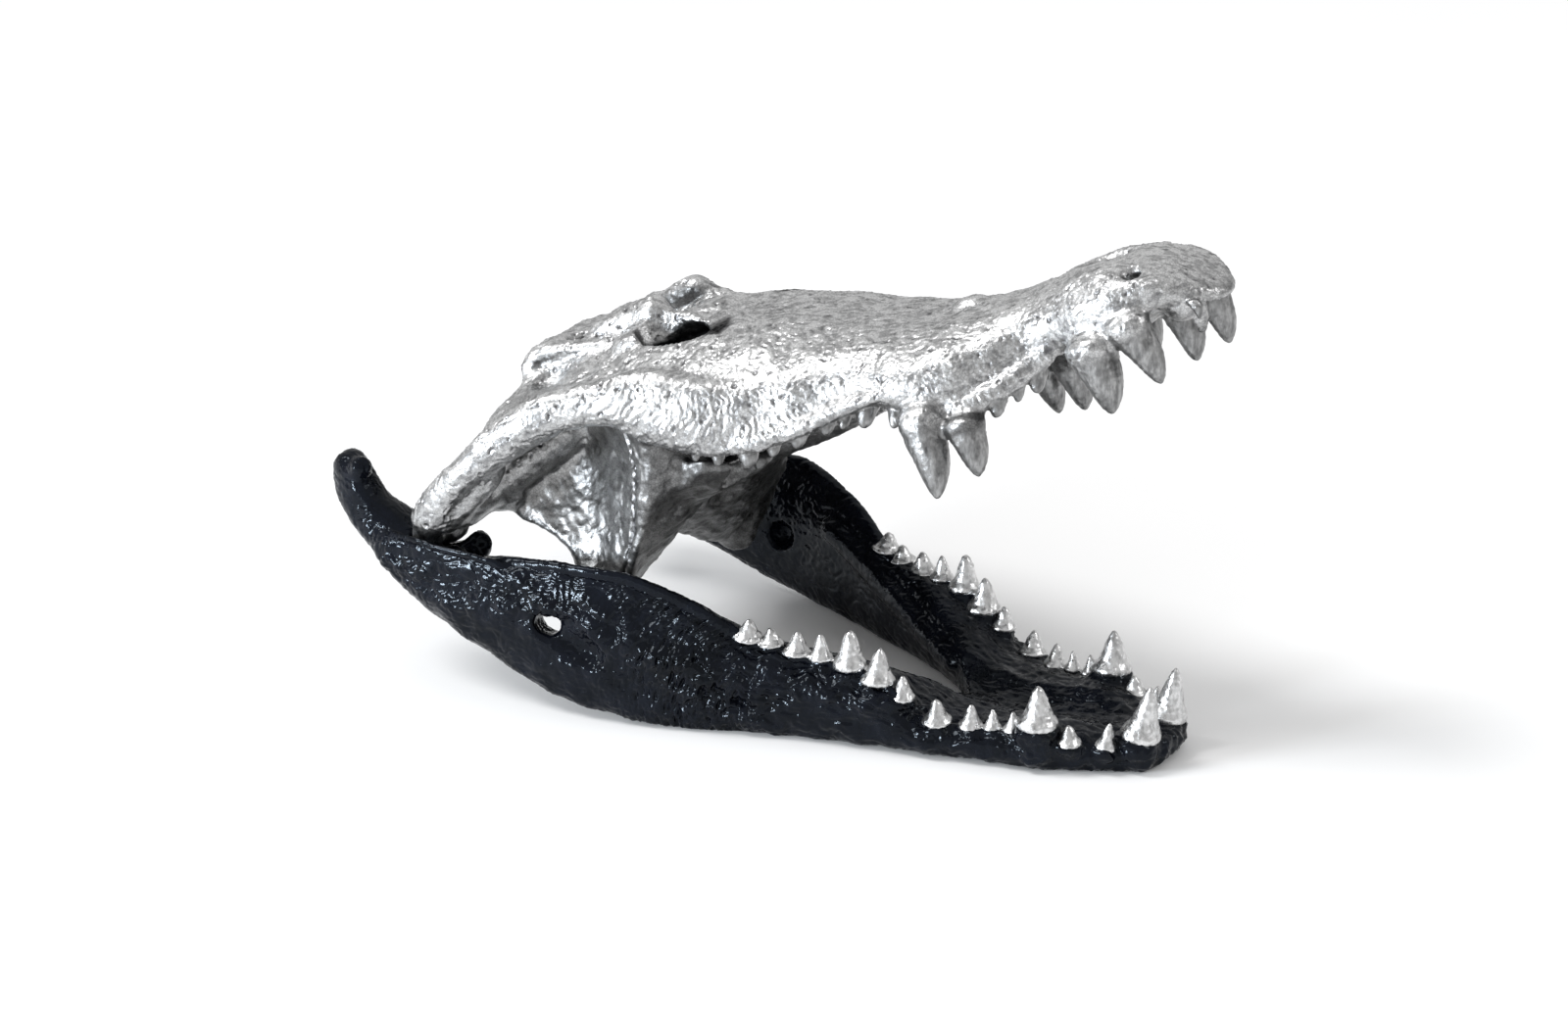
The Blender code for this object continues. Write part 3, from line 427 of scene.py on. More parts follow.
def cranium_solid():
    p = [rostrum()]
    # cheek bar: jugal and quadratojugal, out to the corner over the joint
    p += both(tube([(.350, .070, -.006, .010, .014), (.300, .085, -.004, .017, .024),
                    (.250, .102, .010, .018, .028),
                    (.215, .110, .030, .016, .028), (.195, .114, .0415, .014, .0200),
                    (.170, .120, .0475, .013, .0158), (.130, .131, .0525, .012, .0155),
                    (.090, .140, .0445, .012, .0140), (.050, .1455, .0315, .0125, .0120),
                    (.018, .1445, .0150, .013, .0150), (-.004, .1410, .0050, .012, .0125)], k=2.6))
    # lower, recessed part of the quadratojugal
    p += both(tube([(.080, .128, .030, .008, .010), (.045, .138, .016, .009, .012),
                    (.012, .142, .003, .010, .012)], k=2.4))
    # sunken plate between the quadrate and the bar
    p += both(slab([(.100, .004, .006, .070, .030), (.125, .002, .007, .076, .036),
                    (.148, .004, .009, .066, .036)], (.006, .006, .006)))
    # skull table with its raised edge
    p.append(ball((.130, 0, .080), (.053, .056, .0095), tilt=(0, .26, 0), k=4.2))
    p += both(tube([(.085, .060, .076, .0088), (.090, .058, .0865, .0090),
                    (.101, .057, .0910, .0090), (.118, .056, .0875, .0086),
                    (.142, .052, .0795, .0082), (.178, .044, .0715, .0085)]))
    # roof between the eyes and its raised rims
    p.append(ball((.190, 0, .070), (.055, .032, .010), k=3))
    p += both(tube([(.128, .040, .076, .008), (.138, .037, .086, .0086),
                    (.150, .034, .0905, .0092), (.163, .032, .0890, .0095),
                    (.178, .030, .0900, .0115), (.190, .030, .0905, .0120),
                    (.203, .031, .080, .0095), (.232, .038, .066, .0080)]))
    # outer and hind rims of the eye sockets
    p += both(tube([(.166, .044, .074, .010), (.176, .060, .066, .010),
                    (.192, .078, .056, .011), (.225, .092, .042, .013)]))
    # hollow wall between the rims, behind the eye socket
    p += both(ball((.185, .050, .0735), (.018, .022, .0115), k=2.4))
    # bar behind the eye socket, from the roof down to the cheek
    p += both(tube([(.168, .038, .072, .010), (.176, .052, .064, .0115),
                    (.181, .074, .053, .0105), (.184, .100, .042, .0115)], up=(1, 0, 0)))
    # sloping side roof from the table down to the cheek bar and the quadrate
    p += both(slab([(.040, .086, .080, .184, .066), (.060, .080, .075, .186, .063),
                    (.075, .074, .070, .192, .058), (.090, .064, .064, .200, .052),
                    (.108, .050, .052, .205, .046), (.125, .036, .038, .180, .046),
                    (.143, .014, .018, .120, .046)],
                   (.012, .011, .010, .009, .009, .009, .009)))
    # braincase, hind face and neck knob
    p.append(ball((.125, 0, .026), (.055, .036, .056), k=2.8))
    p.append(ball((.088, 0, .046), (.026, .052, .034), k=2.6))
    p.append(ball((.060, 0, .034), (.016, .015, .014)))
    p.append(tube([(.170, 0, .030, .026, .035), (.230, 0, .020, .022, .035),
                   (.300, 0, .000, .030, .030)]))
    # quadrate, widening to the joint surface
    p += both(tube([(.110, .040, .040, .026, .020), (.075, .078, .026, .026, .018),
                    (.042, .104, .014, .024, .015), (.012, .124, .003, .024, .013)], k=2.4))
    p += both(tube([(.001, .098, -.002, .012), (-.002, .112, -.001, .0132),
                    (-.003, .126, .0015, .0118), (-.003, .139, .0005, .0122),
                    (.000, .148, .002, .0105)], up=(1, 0, 0)))
    # web between the quadrate and the wing
    p += both(ball((.050, .102, .003), (.017, .012, .0095)))
    # pterygoid and ectopterygoid of each side: wall of the cheek chamber, thick
    # outer column and the big flange below
    p += both(stack(WING))
    # roof of the mouth behind the inner nostril, sloping down to the hind edge
    p += [slab([(-.099, .073, -.107, .160, -.054), (-.065, .080, -.097, .185, -.046),
                (-.030, .085, -.080, .196, -.036), (.0, .089, -.066, .200, -.026),
                (.030, .085, -.080, .196, -.036), (.065, .080, -.097, .185, -.046),
                (.099, .073, -.107, .160, -.054)],
               (.008, .009, .009, .010, .009, .009, .008), steps=44)]
    p.append(ball((.118, 0, -.028), (.036, .034, .034), tilt=(0, -.2, 0), k=2.6))
    # plate between the wing and the palatine bar, behind the palate opening
    p += both(slab([(.010, .130, -.046, .240, -.040), (.045, .135, -.047, .240, -.042),
                    (.070, .140, -.044, .238, -.036), (.092, .146, -.036, .226, -.024)],
                   (.010, .0095, .0095, .009)))
    # palatine bar between the two palate openings
    p.append(tube([(.165, 0, -.036, .040, .012), (.195, 0, -.034, .034, .014),
                   (.230, 0, -.032, .027, .016), (.280, 0, -.030, .026, .018),
                   (.330, 0, -.026, .032, .016), (.380, 0, -.022, .036, .012),
                   (.420, 0, -.014, .030, .008)], k=2.6))
    # little prong between the two front teeth
    p.append(tube([(.606, 0, -.040, .010), (.603, 0, -.056, .006),
                   (.600, 0, -.068, .003)], up=(1, 0, 0)))
    # smooth lip along the margin, over the small back teeth
    p += both(tube([(.222, .108, -.001, .0065), (.244, .1085, -.011, .0068),
                    (.264, .1070, -.0170, .0066), (.290, .1030, -.0220, .0066),
                    (.323, .0975, -.0232, .0064), (.352, .0925, -.0218, .0060),
                    (.378, .0895, -.0215, .0050), (.398, .0850, -.0240, .0030)]))
    # margin over the small teeth in front of the big ones
    p += both(tube([(.430, .0760, -.050, .009, .012), (.446, .0720, -.0510, .0085, .0095),
                    (.463, .0640, -.0500, .0080, .0085), (.479, .0550, -.0465, .0075, .0085),
                    (.495, .0470, -.0420, .0070, .0080), (.510, .0440, -.036, .0060, .0070)]))
    # low boss on the ridge of the snout
    p.append(ball((.430, 0, .0085), (.018, .014, .0068)))
    # gum-like cones the big teeth grow from
    for name, (a, b, c, d, e, f, r, side) in UPPER_TEETH.items():
        if r > BIG:
            root, tip = np.array((a, b, c)), np.array((d, e, f))
            path = [(*(root + (tip - root) * k), r * g)
                    for k, g in ((-.60, 1.30), (-.25, 1.15), (.02, 1.00), (.25, .86),
                                 (.42, .68))]
            p += on_sides(tube(path, up=(1, 0, 0), k=2.2), side)
    p += both(ball((.605, .019, -.038), (.016, .014, .014)))
    return p


def cranium_cuts():
    c = []
    # eye sockets, open down through the palate openings
    c += both(tube([(.2175, .054, .105, .0175, .0285), (.2175, .053, .070, .0175, .0275),
                    (.223, .056, .040, .020, .026), (.236, .059, .000, .018, .032),
                    (.246, .056, -.035, .018, .038), (.248, .054, -.075, .020, .040)],
                   up=(1, 0, 0), k=2.2, ends=False))
    # the socket widens under its rim
    c += both(ball((.2200, .042, .0550), (.0215, .022, .0150), k=2.4))
    c += both(ball((.2220, .050, .038), (.0225, .026, .022)))
    # long slit of the socket, drawn out to the rear under the roof
    c += both(tube([(.1960, .0480, .0705, .0100, .0075), (.2120, .0520, .0690, .0160, .0090),
                    (.2380, .0570, .0680, .0150, .0085), (.2540, .0620, .0690, .0080, .0060)],
                   k=2.2))
    # nostril, slanting back into the snout
    c.append(ball((.556, 0, .0155), (.0235, .0205, .0165), k=2.3))
    c.append(ball((.548, 0, .0020), (.0140, .0120, .0110)))
    # holes for the first lower teeth
    c += both(tube([(.5860, .0480, .012, .0080), (.5870, .0380, -.006, .0068),
                    (.5890, .0300, -.030, .0060), (.5900, .0240, -.060, .0075)],
                   up=(1, 0, 0), ends=False))
    # openings of the skull table
    c += both(tube([(.120, .026, .115, .0155, .013), (.122, .027, .080, .013, .011),
                    (.126, .030, .066, .009, .009)], up=(0, 1, 0)))
    # inner nostril in the roof of the mouth
    c += both(ball((.1450, .0260, -.0720), (.0150, .0170, .0150), tilt=(-.5, -.3, 0)))
    # passage of the spinal cord
    c.append(tube([(.030, 0, .062, .0085), (.095, 0, .060, .0075)]))
    # ear recess under the edge of the skull table
    c += both(ball((.112, .0770, .0755), (.0190, .0150, .0095), tilt=(0, .10, -.12)))
    c += both(tube([(.096, .0665, .0850, .0045, .0040), (.120, .0665, .0830, .0055, .0050),
                    (.150, .0620, .0800, .0050, .0045), (.165, .0590, .0780, .003, .003)]))
    # chamber under the cheek, in front of the quadrate
    c += both(tube([(.070, .128, .008, .012, .012), (.095, .122, .010, .016, .017),
                    (.130, .113, .008, .020, .022), (.158, .116, .006, .014, .020),
                    (.172, .122, .006, .008, .012)], k=2.2))
    return c


def cranium(voxel, teeth_voxel):
    ob = remesh(as_object('cranium', cranium_solid()), voxel)
    tool = remesh(as_object('tool', cranium_cuts()), voxel)
    cut(ob, tool)
    remesh(ob, teeth_voxel)
    return ob


def upper_teeth():
    t = []
    for name, (a, b, c, d, e, f, r, side) in UPPER_TEETH.items():
        big = r > BIG
        t += on_sides(tooth((a, b, c), (d, e, f), r, sink=.40 if big else .6,
                            bend=.05, blunt=.40, full=big), side)
    return t


def tip_up(v):
    """From the cranium's own frame to the part's frame."""
    c, s = math.cos(GAPE), math.sin(GAPE)
    return np.stack([JOINT[0] + v[:, 0] * c - v[:, 2] * s, v[:, 1],
                     JOINT[2] + v[:, 0] * s + v[:, 2] * c], 1)


# ------------------------------------------------------------------ lower jaw
# x, outer side at the foot, outer side at the crest, thickness, foot z, crest z
RAMUS = [
    (-.319, .138, .139, .020, .138, .156, 0),
    (-.309, .143, .144, .028, .124, .1665, 0),
    (-.297, .147, .148, .030, .110, .1625, 0),
    (-.290, .149, .150, .031, .104, .157, 0),
    (-.280, .150, .152, .033, .096, .1405, 0),
    (-.260, .154, .157, .046, .080, .1270, 0),
    (-.236, .157, .162, .062, .063, .111, 0),
    (-.212, .159, .165, .060, .050, .102, 0),
    (-.190, .160, .166, .044, .042, .104, .1),
    (-.160, .160, .165, .033, .030, .113, .15),
    (-.130, .160, .164, .030, .020, .117, .15),
    (-.105, .159, .163, .030, .011, .119, .15),
    (-.065, .154, .158, .030, .0035, .119, .15),
    (-.030, .145, .147, .031, .000, .110, .1),
    (.000, .136, .137, .032, .000, .097, 0),
    (.030, .123, .124, .034, .000, .078, 0),
    (.067, .111, .112, .040, .000, .067, 0),
    (.090, .106, .107, .0485, .000, .062, 0),
    (.110, .102, .102, .057, .000, .056, 0),
    (.135, .096, .096, .069, .000, .045, 0),
    (.150, .092, .092, .079, .000, .037, 0),
    (.164, .090, .090, .092, .000, .031, 0),
    (.175, .087, .086, .090, .000, .029, 0),
    (.200, .080, .079, .084, .000, .027, 0),
    (.225, .074, .072, .076, .000, .028, 0),
    (.250, .067, .065, .069, .000, .031, 0),
    (.275, .055, .055, .058, .000, .027, 0),
    (.295, .042, .043, .046, .000, .024, 0),
    (.311, .034, .035, .037, .001, .024, 0),
    (.3215, .023, .024, .028, .003, .024, 0),
    (.3280, .010, .012, .014, .008, .021, 0),
]

# teeth of the lower jaw: base x, y, z, tip x, y, z, radius
LOWER_TEETH = {
    'L1': (.3120, .0215, .028, .3186, .0209, .0661, .0118),
    'L2': (.2930, .0400, .021, .2960, .0400, .0400, .0066),
    'L3': (.2700, .0535, .024, .2699, .0539, .0376, .0080),
    'L4': (.2480, .0600, .037, .2484, .0611, .0663, .0120),
    'L5': (.2290, .0620, .028, .2290, .0620, .0424, .0056),
    'L6': (.2137, .0640, .027, .2137, .0640, .0417, .0055),
    'L7': (.1975, .0670, .026, .1981, .0680, .0431, .0074),
    'L8': (.1740, .0750, .028, .1739, .0773, .0455, .0088),
    'L9': (.1470, .0790, .042, .1474, .0790, .0587, .0078),
    'L10': (.1280, .0820, .053, .1292, .0810, .0773, .0106),
    'L11': (.1080, .0880, .063, .1082, .0885, .0895, .0098),
    'L12': (.0860, .0920, .065, .0857, .0920, .0834, .0073),
    'L13': (.0675, .0950, .066, .0675, .0940, .0821, .0088),
    'L14': (.0480, .0990, .070, .0469, .0985, .0823, .0080),
    'L15': (.0310, .1040, .074, .0327, .1045, .0879, .0092),
}


def ramus(n=44, steps=110):
    s = np.linspace(RAMUS[0][0], RAMUS[-1][0], steps)
    p = table(RAMUS, s)
    a = np.linspace(0, 2 * math.pi, n, endpoint=False)
    rings = []
    for x, (yo0, yo1, t, z0, z1, keel) in zip(s, p):
        c, q = np.cos(a), np.sin(a)
        zc, h = (z0 + z1) / 2, (z1 - z0) / 2
        k = np.where(q < 0, 3.2, 2.7)
        z = zc + h * np.sign(q) * np.abs(q) ** (2 / k)
        f = (z - z0) / (z1 - z0)
        mid = yo0 + (yo1 - yo0) * f - t / 2
        y = mid + t / 2 * np.sign(c) * np.abs(c) ** (2 / k)
        z = z + keel * (1 - f) * (mid + t / 2 - y)
        rings.append(np.stack([np.full(n, x), y, z], 1))
    return loft(rings)


def mandible_solid():
    p = both(ramus())
    # knob of the articular on the inner side, in front of the joint
    p += both(ball((-.212, .104, .097), (.013, .014, .013)))
    # rim on the outer side of the joint
    p += both(tube([(-.266, .1520, .1020, .0050, .0140), (-.248, .1575, .1030, .0052, .0150),
                    (-.228, .1605, .1030, .0052, .0175), (-.208, .1612, .1010, .0052, .0170),
                    (-.186, .1608, .1010, .0054, .0170), (-.164, .1585, .0990, .0060, .0160),
                    (-.140, .1560, .0970, .0070, .0150), (-.110, .1550, .0950, .0060, .0120)],
                   k=2.3))
    # hind tip
    p += both(ball((-.2895, .1400, .1575), (.0085, .0090, .0085)))
    p += both(ball((-.306, .132, .148), (.012, .012, .014)))
    # gum round each tooth
    for name, (a, b, c, d, e, f, r) in LOWER_TEETH.items():
        root, tip = np.array((a, b, c)), np.array((d, e, f))
        path = [(*(root + (tip - root) * k), r * g)
                for k, g in ((-.60, .95), (-.32, 1.30), (-.08, 1.38), (.04, 1.27))]
        p += both(tube(path, up=(1, 0, 0), k=2.1))
    # swellings that carry the large teeth
    p += both(ball((.312, .021, .016), (.014, .014, .013)))
    p += both(ball((.248, .059, .020), (.015, .014, .014)))
    p += both(ball((.120, .086, .040), (.030, .012, .016)))
    # ridge along the inner side
    p += both(tube([(-.030, .113, .078, .005, .008), (.010, .100, .062, .0065, .010),
                    (.050, .079, .047, .0065, .010), (.090, .056, .034, .0065, .009),
                    (.135, .026, .024, .005, .007)]))
    p.append(ball((.290, 0, .013), (.036, .024, .010), k=2.6))
    return p


def mandible_cuts():
    c = []
    # side opening of each half
    c += both(tube([(-.092, .200, .0665, .038, .0180, -.45), (-.092, .162, .0655, .036, .0165, -.45),
                    (-.094, .150, .0650, .029, .0115, -.45)], up=(0, 0, 1), k=2.2))
    c += both(tube([(-.107, .165, .0735, .0115, .0090, -.3), (-.115, .145, .0700, .0110, .0085, -.3),
                    (-.125, .110, .0600, .0140, .0110, -.3)], up=(0, 0, 1), k=2.0, ends=False))
    c += both(tube([(-.080, .100, .055, .014, .014), (-.080, .132, .0555, .012, .0115),
                    (-.082, .141, .057, .007, .0075)], up=(0, 0, 1), k=2.0))
    # trough between the tooth rows at the front
    c.append(tube([(.105, 0, .066, .030, .028), (.150, 0, .055, .033, .034),
                   (.200, 0, .050, .036, .032), (.250, 0, .048, .034, .029),
                   (.282, 0, .043, .024, .020), (.302, 0, .044, .010, .014)], k=2.2))
    # joint hollow that takes the quadrate
    c += both(tube([(JOINT[0] - .0015, .090, .1145, .0165), (JOINT[0] - .0015, .126, .1165, .0165),
                    (JOINT[0] - .0015, .1575, .1170, .0165)], up=(1, 0, 0), ends=False))
    return c


def mandible(voxel, teeth_voxel):
    ob = remesh(as_object('mandible', mandible_solid()), voxel)
    tool = remesh(as_object('tool', mandible_cuts()), voxel)
    cut(ob, tool)
    remesh(ob, teeth_voxel)
    return ob


def lower_teeth():
    t = []
    for name, (a, b, c, d, e, f, r) in LOWER_TEETH.items():
        t += both(tooth((a, b, c), (d, e, f), r, sink=.10, bend=-.03,
                        blunt=.34 if name == 'L11' else .2, skirt=.24))
    return t


# ------------------------------------------------------------------ relief

def hashed(i, j, k, seed):
    """Repeatable random bits for a cell of a grid."""
    h = (i * np.uint64(73856093)) ^ (j * np.uint64(19349663)) ^ (k * np.uint64(83492791))
    h = (h ^ np.uint64(seed * 7919 + 17)) & np.uint64(0xffffffff)
    h = (h * np.uint64(0x5bd1e995)) & np.uint64(0xffffffff)
    h = h ^ (h >> np.uint64(15))
    h = (h * np.uint64(0x27d4eb2d)) & np.uint64(0xffffffff)
    return h ^ (h >> np.uint64(13))


def noise(p, size, seed):
    """Smooth noise with lumps of about that size; mean 0, spread about 1."""
    q = p / size
    i = np.floor(q)
    f = q - i
    i = (i + 4096).astype(np.uint64)
    t = f * f * f * (f * (f * 6 - 15) + 10)
    out = np.zeros(len(p))
    for a in (0, 1):
        wa = t[:, 0] if a else 1 - t[:, 0]
        for b in (0, 1):
            wb = wa * (t[:, 1] if b else 1 - t[:, 1])
            for c in (0, 1):
                w = wb * (t[:, 2] if c else 1 - t[:, 2])
                h = hashed(i[:, 0] + np.uint64(a), i[:, 1] + np.uint64(b),
                           i[:, 2] + np.uint64(c), seed)
                g = (((h & np.uint64(1023)).astype(float) / 511.5 - 1) * (f[:, 0] - a)
                     + (((h >> np.uint64(10)) & np.uint64(1023)).astype(float) / 511.5 - 1)
                     * (f[:, 1] - b)
                     + (((h >> np.uint64(20)) & np.uint64(1023)).astype(float) / 511.5 - 1)
                     * (f[:, 2] - c))
                out += w * g
    return out * 5.5


def cells(p, size, seed):
    """Distances to the nearest and second nearest of scattered points, in cells."""
    q = p / size
    i = np.floor(q)
    f = q - i
    i = (i + 4096).astype(np.uint64)
    near = np.full(len(p), 9.0)
    second = np.full(len(p), 9.0)
    one = np.full(len(p), 0.0)
    for a in (-1, 0, 1):
        for b in (-1, 0, 1):
            for c in (-1, 0, 1):
                h = hashed(i[:, 0] + np.uint64(a + 8) - np.uint64(8),
                           i[:, 1] + np.uint64(b + 8) - np.uint64(8),
                           i[:, 2] + np.uint64(c + 8) - np.uint64(8), seed)
                d = (((h & np.uint64(1023)).astype(float) / 1024 + a - f[:, 0]) ** 2
                     + (((h >> np.uint64(10)) & np.uint64(1023)).astype(float) / 1024
                        + b - f[:, 1]) ** 2
                     + (((h >> np.uint64(20)) & np.uint64(1023)).astype(float) / 1024
                        + c - f[:, 2]) ** 2)
                new = d < near
                second = np.where(new, near, np.minimum(second, d))
                one = np.where(new, (h >> np.uint64(3) & np.uint64(255)).astype(float) / 255, one)
                near = np.where(new, d, near)
    return np.sqrt(near), np.sqrt(second), one


def streaks(p, along, size, length, seed, n=7):
    """Noise drawn out along a direction that may change from place to place."""
    out = np.zeros(len(p))
    total = 0.0
    for t in np.linspace(-.5, .5, n):
        w = math.cos(math.pi * t) ** 2 + .08
        out += w * noise(p + along * (t * length), size, seed)
        total += w * w
    return out / math.sqrt(total) / 1.35


def step(a, b, x):
    """0 below a, 1 above b, smooth between; a may be above b."""
    t = np.clip((x - a) / (b - a), 0, 1)
    return t * t * (3 - 2 * t)


def unit(v):
    return v / (np.linalg.norm(v, axis=1)[:, None] + 1e-12)


def keep_attribute(ob, name, values):
    a = ob.data.attributes.new(name, 'FLOAT', 'POINT')
    a.data.foreach_set('value', np.ascontiguousarray(values, np.float32))


def links(ob):
    e = np.empty(len(ob.data.edges) * 2, np.int64)
    ob.data.edges.foreach_get('vertices', e)
    return e.reshape(-1, 2)


def spread(values, e, times):
    """Average a value over the neighbouring points of the skin."""
    n = len(values)
    deg = np.bincount(e.ravel(), minlength=n).astype(float) + 1
    out = values.astype(float)
    for _ in range(times):
        s = (out + np.bincount(e[:, 0], out[e[:, 1]], n)
             + np.bincount(e[:, 1], out[e[:, 0]], n))
        out = s / deg
    return out


def tooth_field(p, teeth):
    """For each point: how near a tooth's core it lies (1 is its skin), how far
    along the tooth, and the tooth's own axis there."""
    best = np.full(len(p), 9.0)
    along = np.zeros(len(p))
    axis = np.zeros((len(p), 3))
    for a, b, c, d, e, f, r, *side in teeth.values():
        for s in ((1, -1) if not side or side[0] == 0 else (side[0],)):
            b0, t0 = np.array([a, s * b, c]), np.array([d, s * e, f])
            h = np.linalg.norm(t0 - b0)
            ax = (t0 - b0) / h
            q = p - b0
            t = q @ ax / h
            dist = np.linalg.norm(q - np.outer(np.clip(t, -.15, 1) * h, ax), axis=1)
            k = dist / (r * 1.15)
            near = k < best
            best = np.where(near, k, best)
            along = np.where(near, t, along)
            axis[near] = ax
    return best, along, axis


# lower edge of the cheek: what lies beneath it is smooth inner bone
CHEEK_EDGE = [(-.02, -.020), (.02, -.004), (.05, .018), (.10, .030), (.15, .034),
              (.20, .012), (.24, -.020), (.30, -.036), (.40, -.055), (.64, -.060)]
AXIS_LINE = [(-.02, .000), (.05, .020), (.15, .020), (.25, .000), (.35, -.020),
             (.50, -.030), (.64, -.042)]


def skull_relief(p, n):
    """Height of the surface detail of the upper skull, in its own level frame."""
    ax = np.array(AXIS_LINE)
    ce = np.array(CHEEK_EDGE)
    mid = np.interp(p[:, 0], ax[:, 0], ax[:, 1])
    out = unit(np.stack([np.zeros(len(p)), p[:, 1], p[:, 2] - mid], 1))
    side = np.abs(p[:, 1])
    facing = (n * out).sum(1)
    crust = (step(-.05, .45, facing)
             * step(-.010, .004, p[:, 2] - np.interp(p[:, 0], ce[:, 0], ce[:, 1])))
    k, along, axis = tooth_field(p, UPPER_TEETH)
    tooth = step(1.22, 1.02, k) * step(-.25, .02, along)
    crust = crust * (1 - tooth)
    # smooth band under the corner of the table, and the table's hollows
    band = bump(p[:, 2] - (.060 + (p[:, 0] - .09) * .32), 0, .011) * bump(p[:, 0], .10, .055) \
        * step(.066, .082, side) * step(.126, .108, side)
    crust = crust * (1 - .85 * np.clip(band, 0, 1))

    # grain of the bone: fans out from the front of the eye sockets
    hub = np.stack([np.full(len(p), .262), np.where(p[:, 1] < 0, -.030, .030),
                    np.full(len(p), .058)], 1)
    ray = p - hub
    ray -= n * (ray * n).sum(1)[:, None]
    flow = unit(ray + 1e-6)
    rearward = step(.20, .12, p[:, 0])
    snout = step(.34, .44, p[:, 0])
    lengthwise = np.tile([1.0, 0, 0], (len(p), 1))
    lengthwise -= n * (lengthwise * n).sum(1)[:, None]
    flow = unit(flow * (1 - .7 * snout)[:, None] + unit(lengthwise) * (.7 * snout)[:, None])

    warp = np.stack([noise(p, .010, 31), noise(p, .010, 32), noise(p, .010, 33)], 1) * .0013
    q = p + warp
    h = .0005 * noise(p, .024, 1) * crust
    # crinkled leaf: thin little crests on a calm skin
    ridge = 1 - np.abs(streaks(q, flow, .0058, .017, 2))
    ridge2 = 1 - np.abs(streaks(q, flow, .0036, .009, 3))
    patchy = .55 + .45 * step(-.6, .6, noise(p, .017, 4))
    h += crust * patchy * (.00068 * step(.40, 1.0, ridge) + .00046 * step(.35, 1.0, ridge2))
    # pits and little rings, deeper over the cheek and the snout
    rough = step(.30, .20, p[:, 0]) * .6 + .7
    f1, f2, r = cells(q, .0075, 5)
    pit = step(.34, .12, f1) * (r > .62)
    ring = bump(f1, .40, .09) * (r > .62)
    h += crust * rough * (-.00100 * pit + .00050 * ring)
    f1, f2, r = cells(q, .0044, 6)
    pit2 = step(.42, .14, f1) * (r > .55)
    h += crust * (-.00050 * pit2)
    # upright ribs just above the edge of the cheek
    edge = p[:, 2] - np.interp(p[:, 0], ce[:, 0], ce[:, 1])
    ribs = bump(edge, .016, .020) * step(.16, .20, p[:, 0]) * step(.37, .30, p[:, 0])
    rib = streaks(q, flow, .0050, .020, 7)
    h += crust * ribs * .00115 * step(.2, 1.0, 1 - np.abs(rib))
    # inner bone: shallow dents and drawn-out streaks
    inner = (1 - crust) * (1 - tooth)
    h += inner * (.00032 * noise(p, .012, 11) + .00014 * noise(p, .005, 12)
                  + .00020 * (1 - np.abs(noise(q, .008, 13))))
    # crack down the thick outer column of the wing
    gap = np.interp(p[:, 2], [-.10, -.055, -.012, .03], [.108, .150, .172, .182])
    crack = bump(p[:, 0] + .0012 * noise(p, .006, 15), gap, .0022) * step(.085, .098, side) \
        * step(-.100, -.085, p[:, 2]) * step(.030, .010, p[:, 2]) * inner
    h -= .0022 * crack
    # teeth: fine upright fluting and a wrinkled collar
    flute = streaks(p, axis, .0035, .020, 21, 5)
    collar = bump(along, .03, .09)
    h += tooth * (.00014 * flute + collar * (.0003 + .00018 * noise(p, .003, 22)))
    # painted shade mask: pits, the grooves between crests and the crack on the column, to be darkened in the colour
    hollow_shade = np.clip(crust * (pit * .8 + pit2 * .4 + step(.35, -.3, ridge) * .55) + crack,
                     0, 1)
    # inside of the eye sockets: a mask for painted shade that turns them near-black
    e = ((p[:, 0] - .226) / .036) ** 2 + ((side - .052) / .030) ** 2
    rim = np.interp(p[:, 0], [.18, .20, .215, .235, .26], [.072, .069, .066, .066, .068])
    socket = step(1.35, 1.0, e) * step(rim + .001, rim - .004, p[:, 2]) \
        * step(-.012, .004, p[:, 2]) * step(.55, .35, facing * step(.060, .066, side))
    return h, hollow_shade, crust, tooth, socket


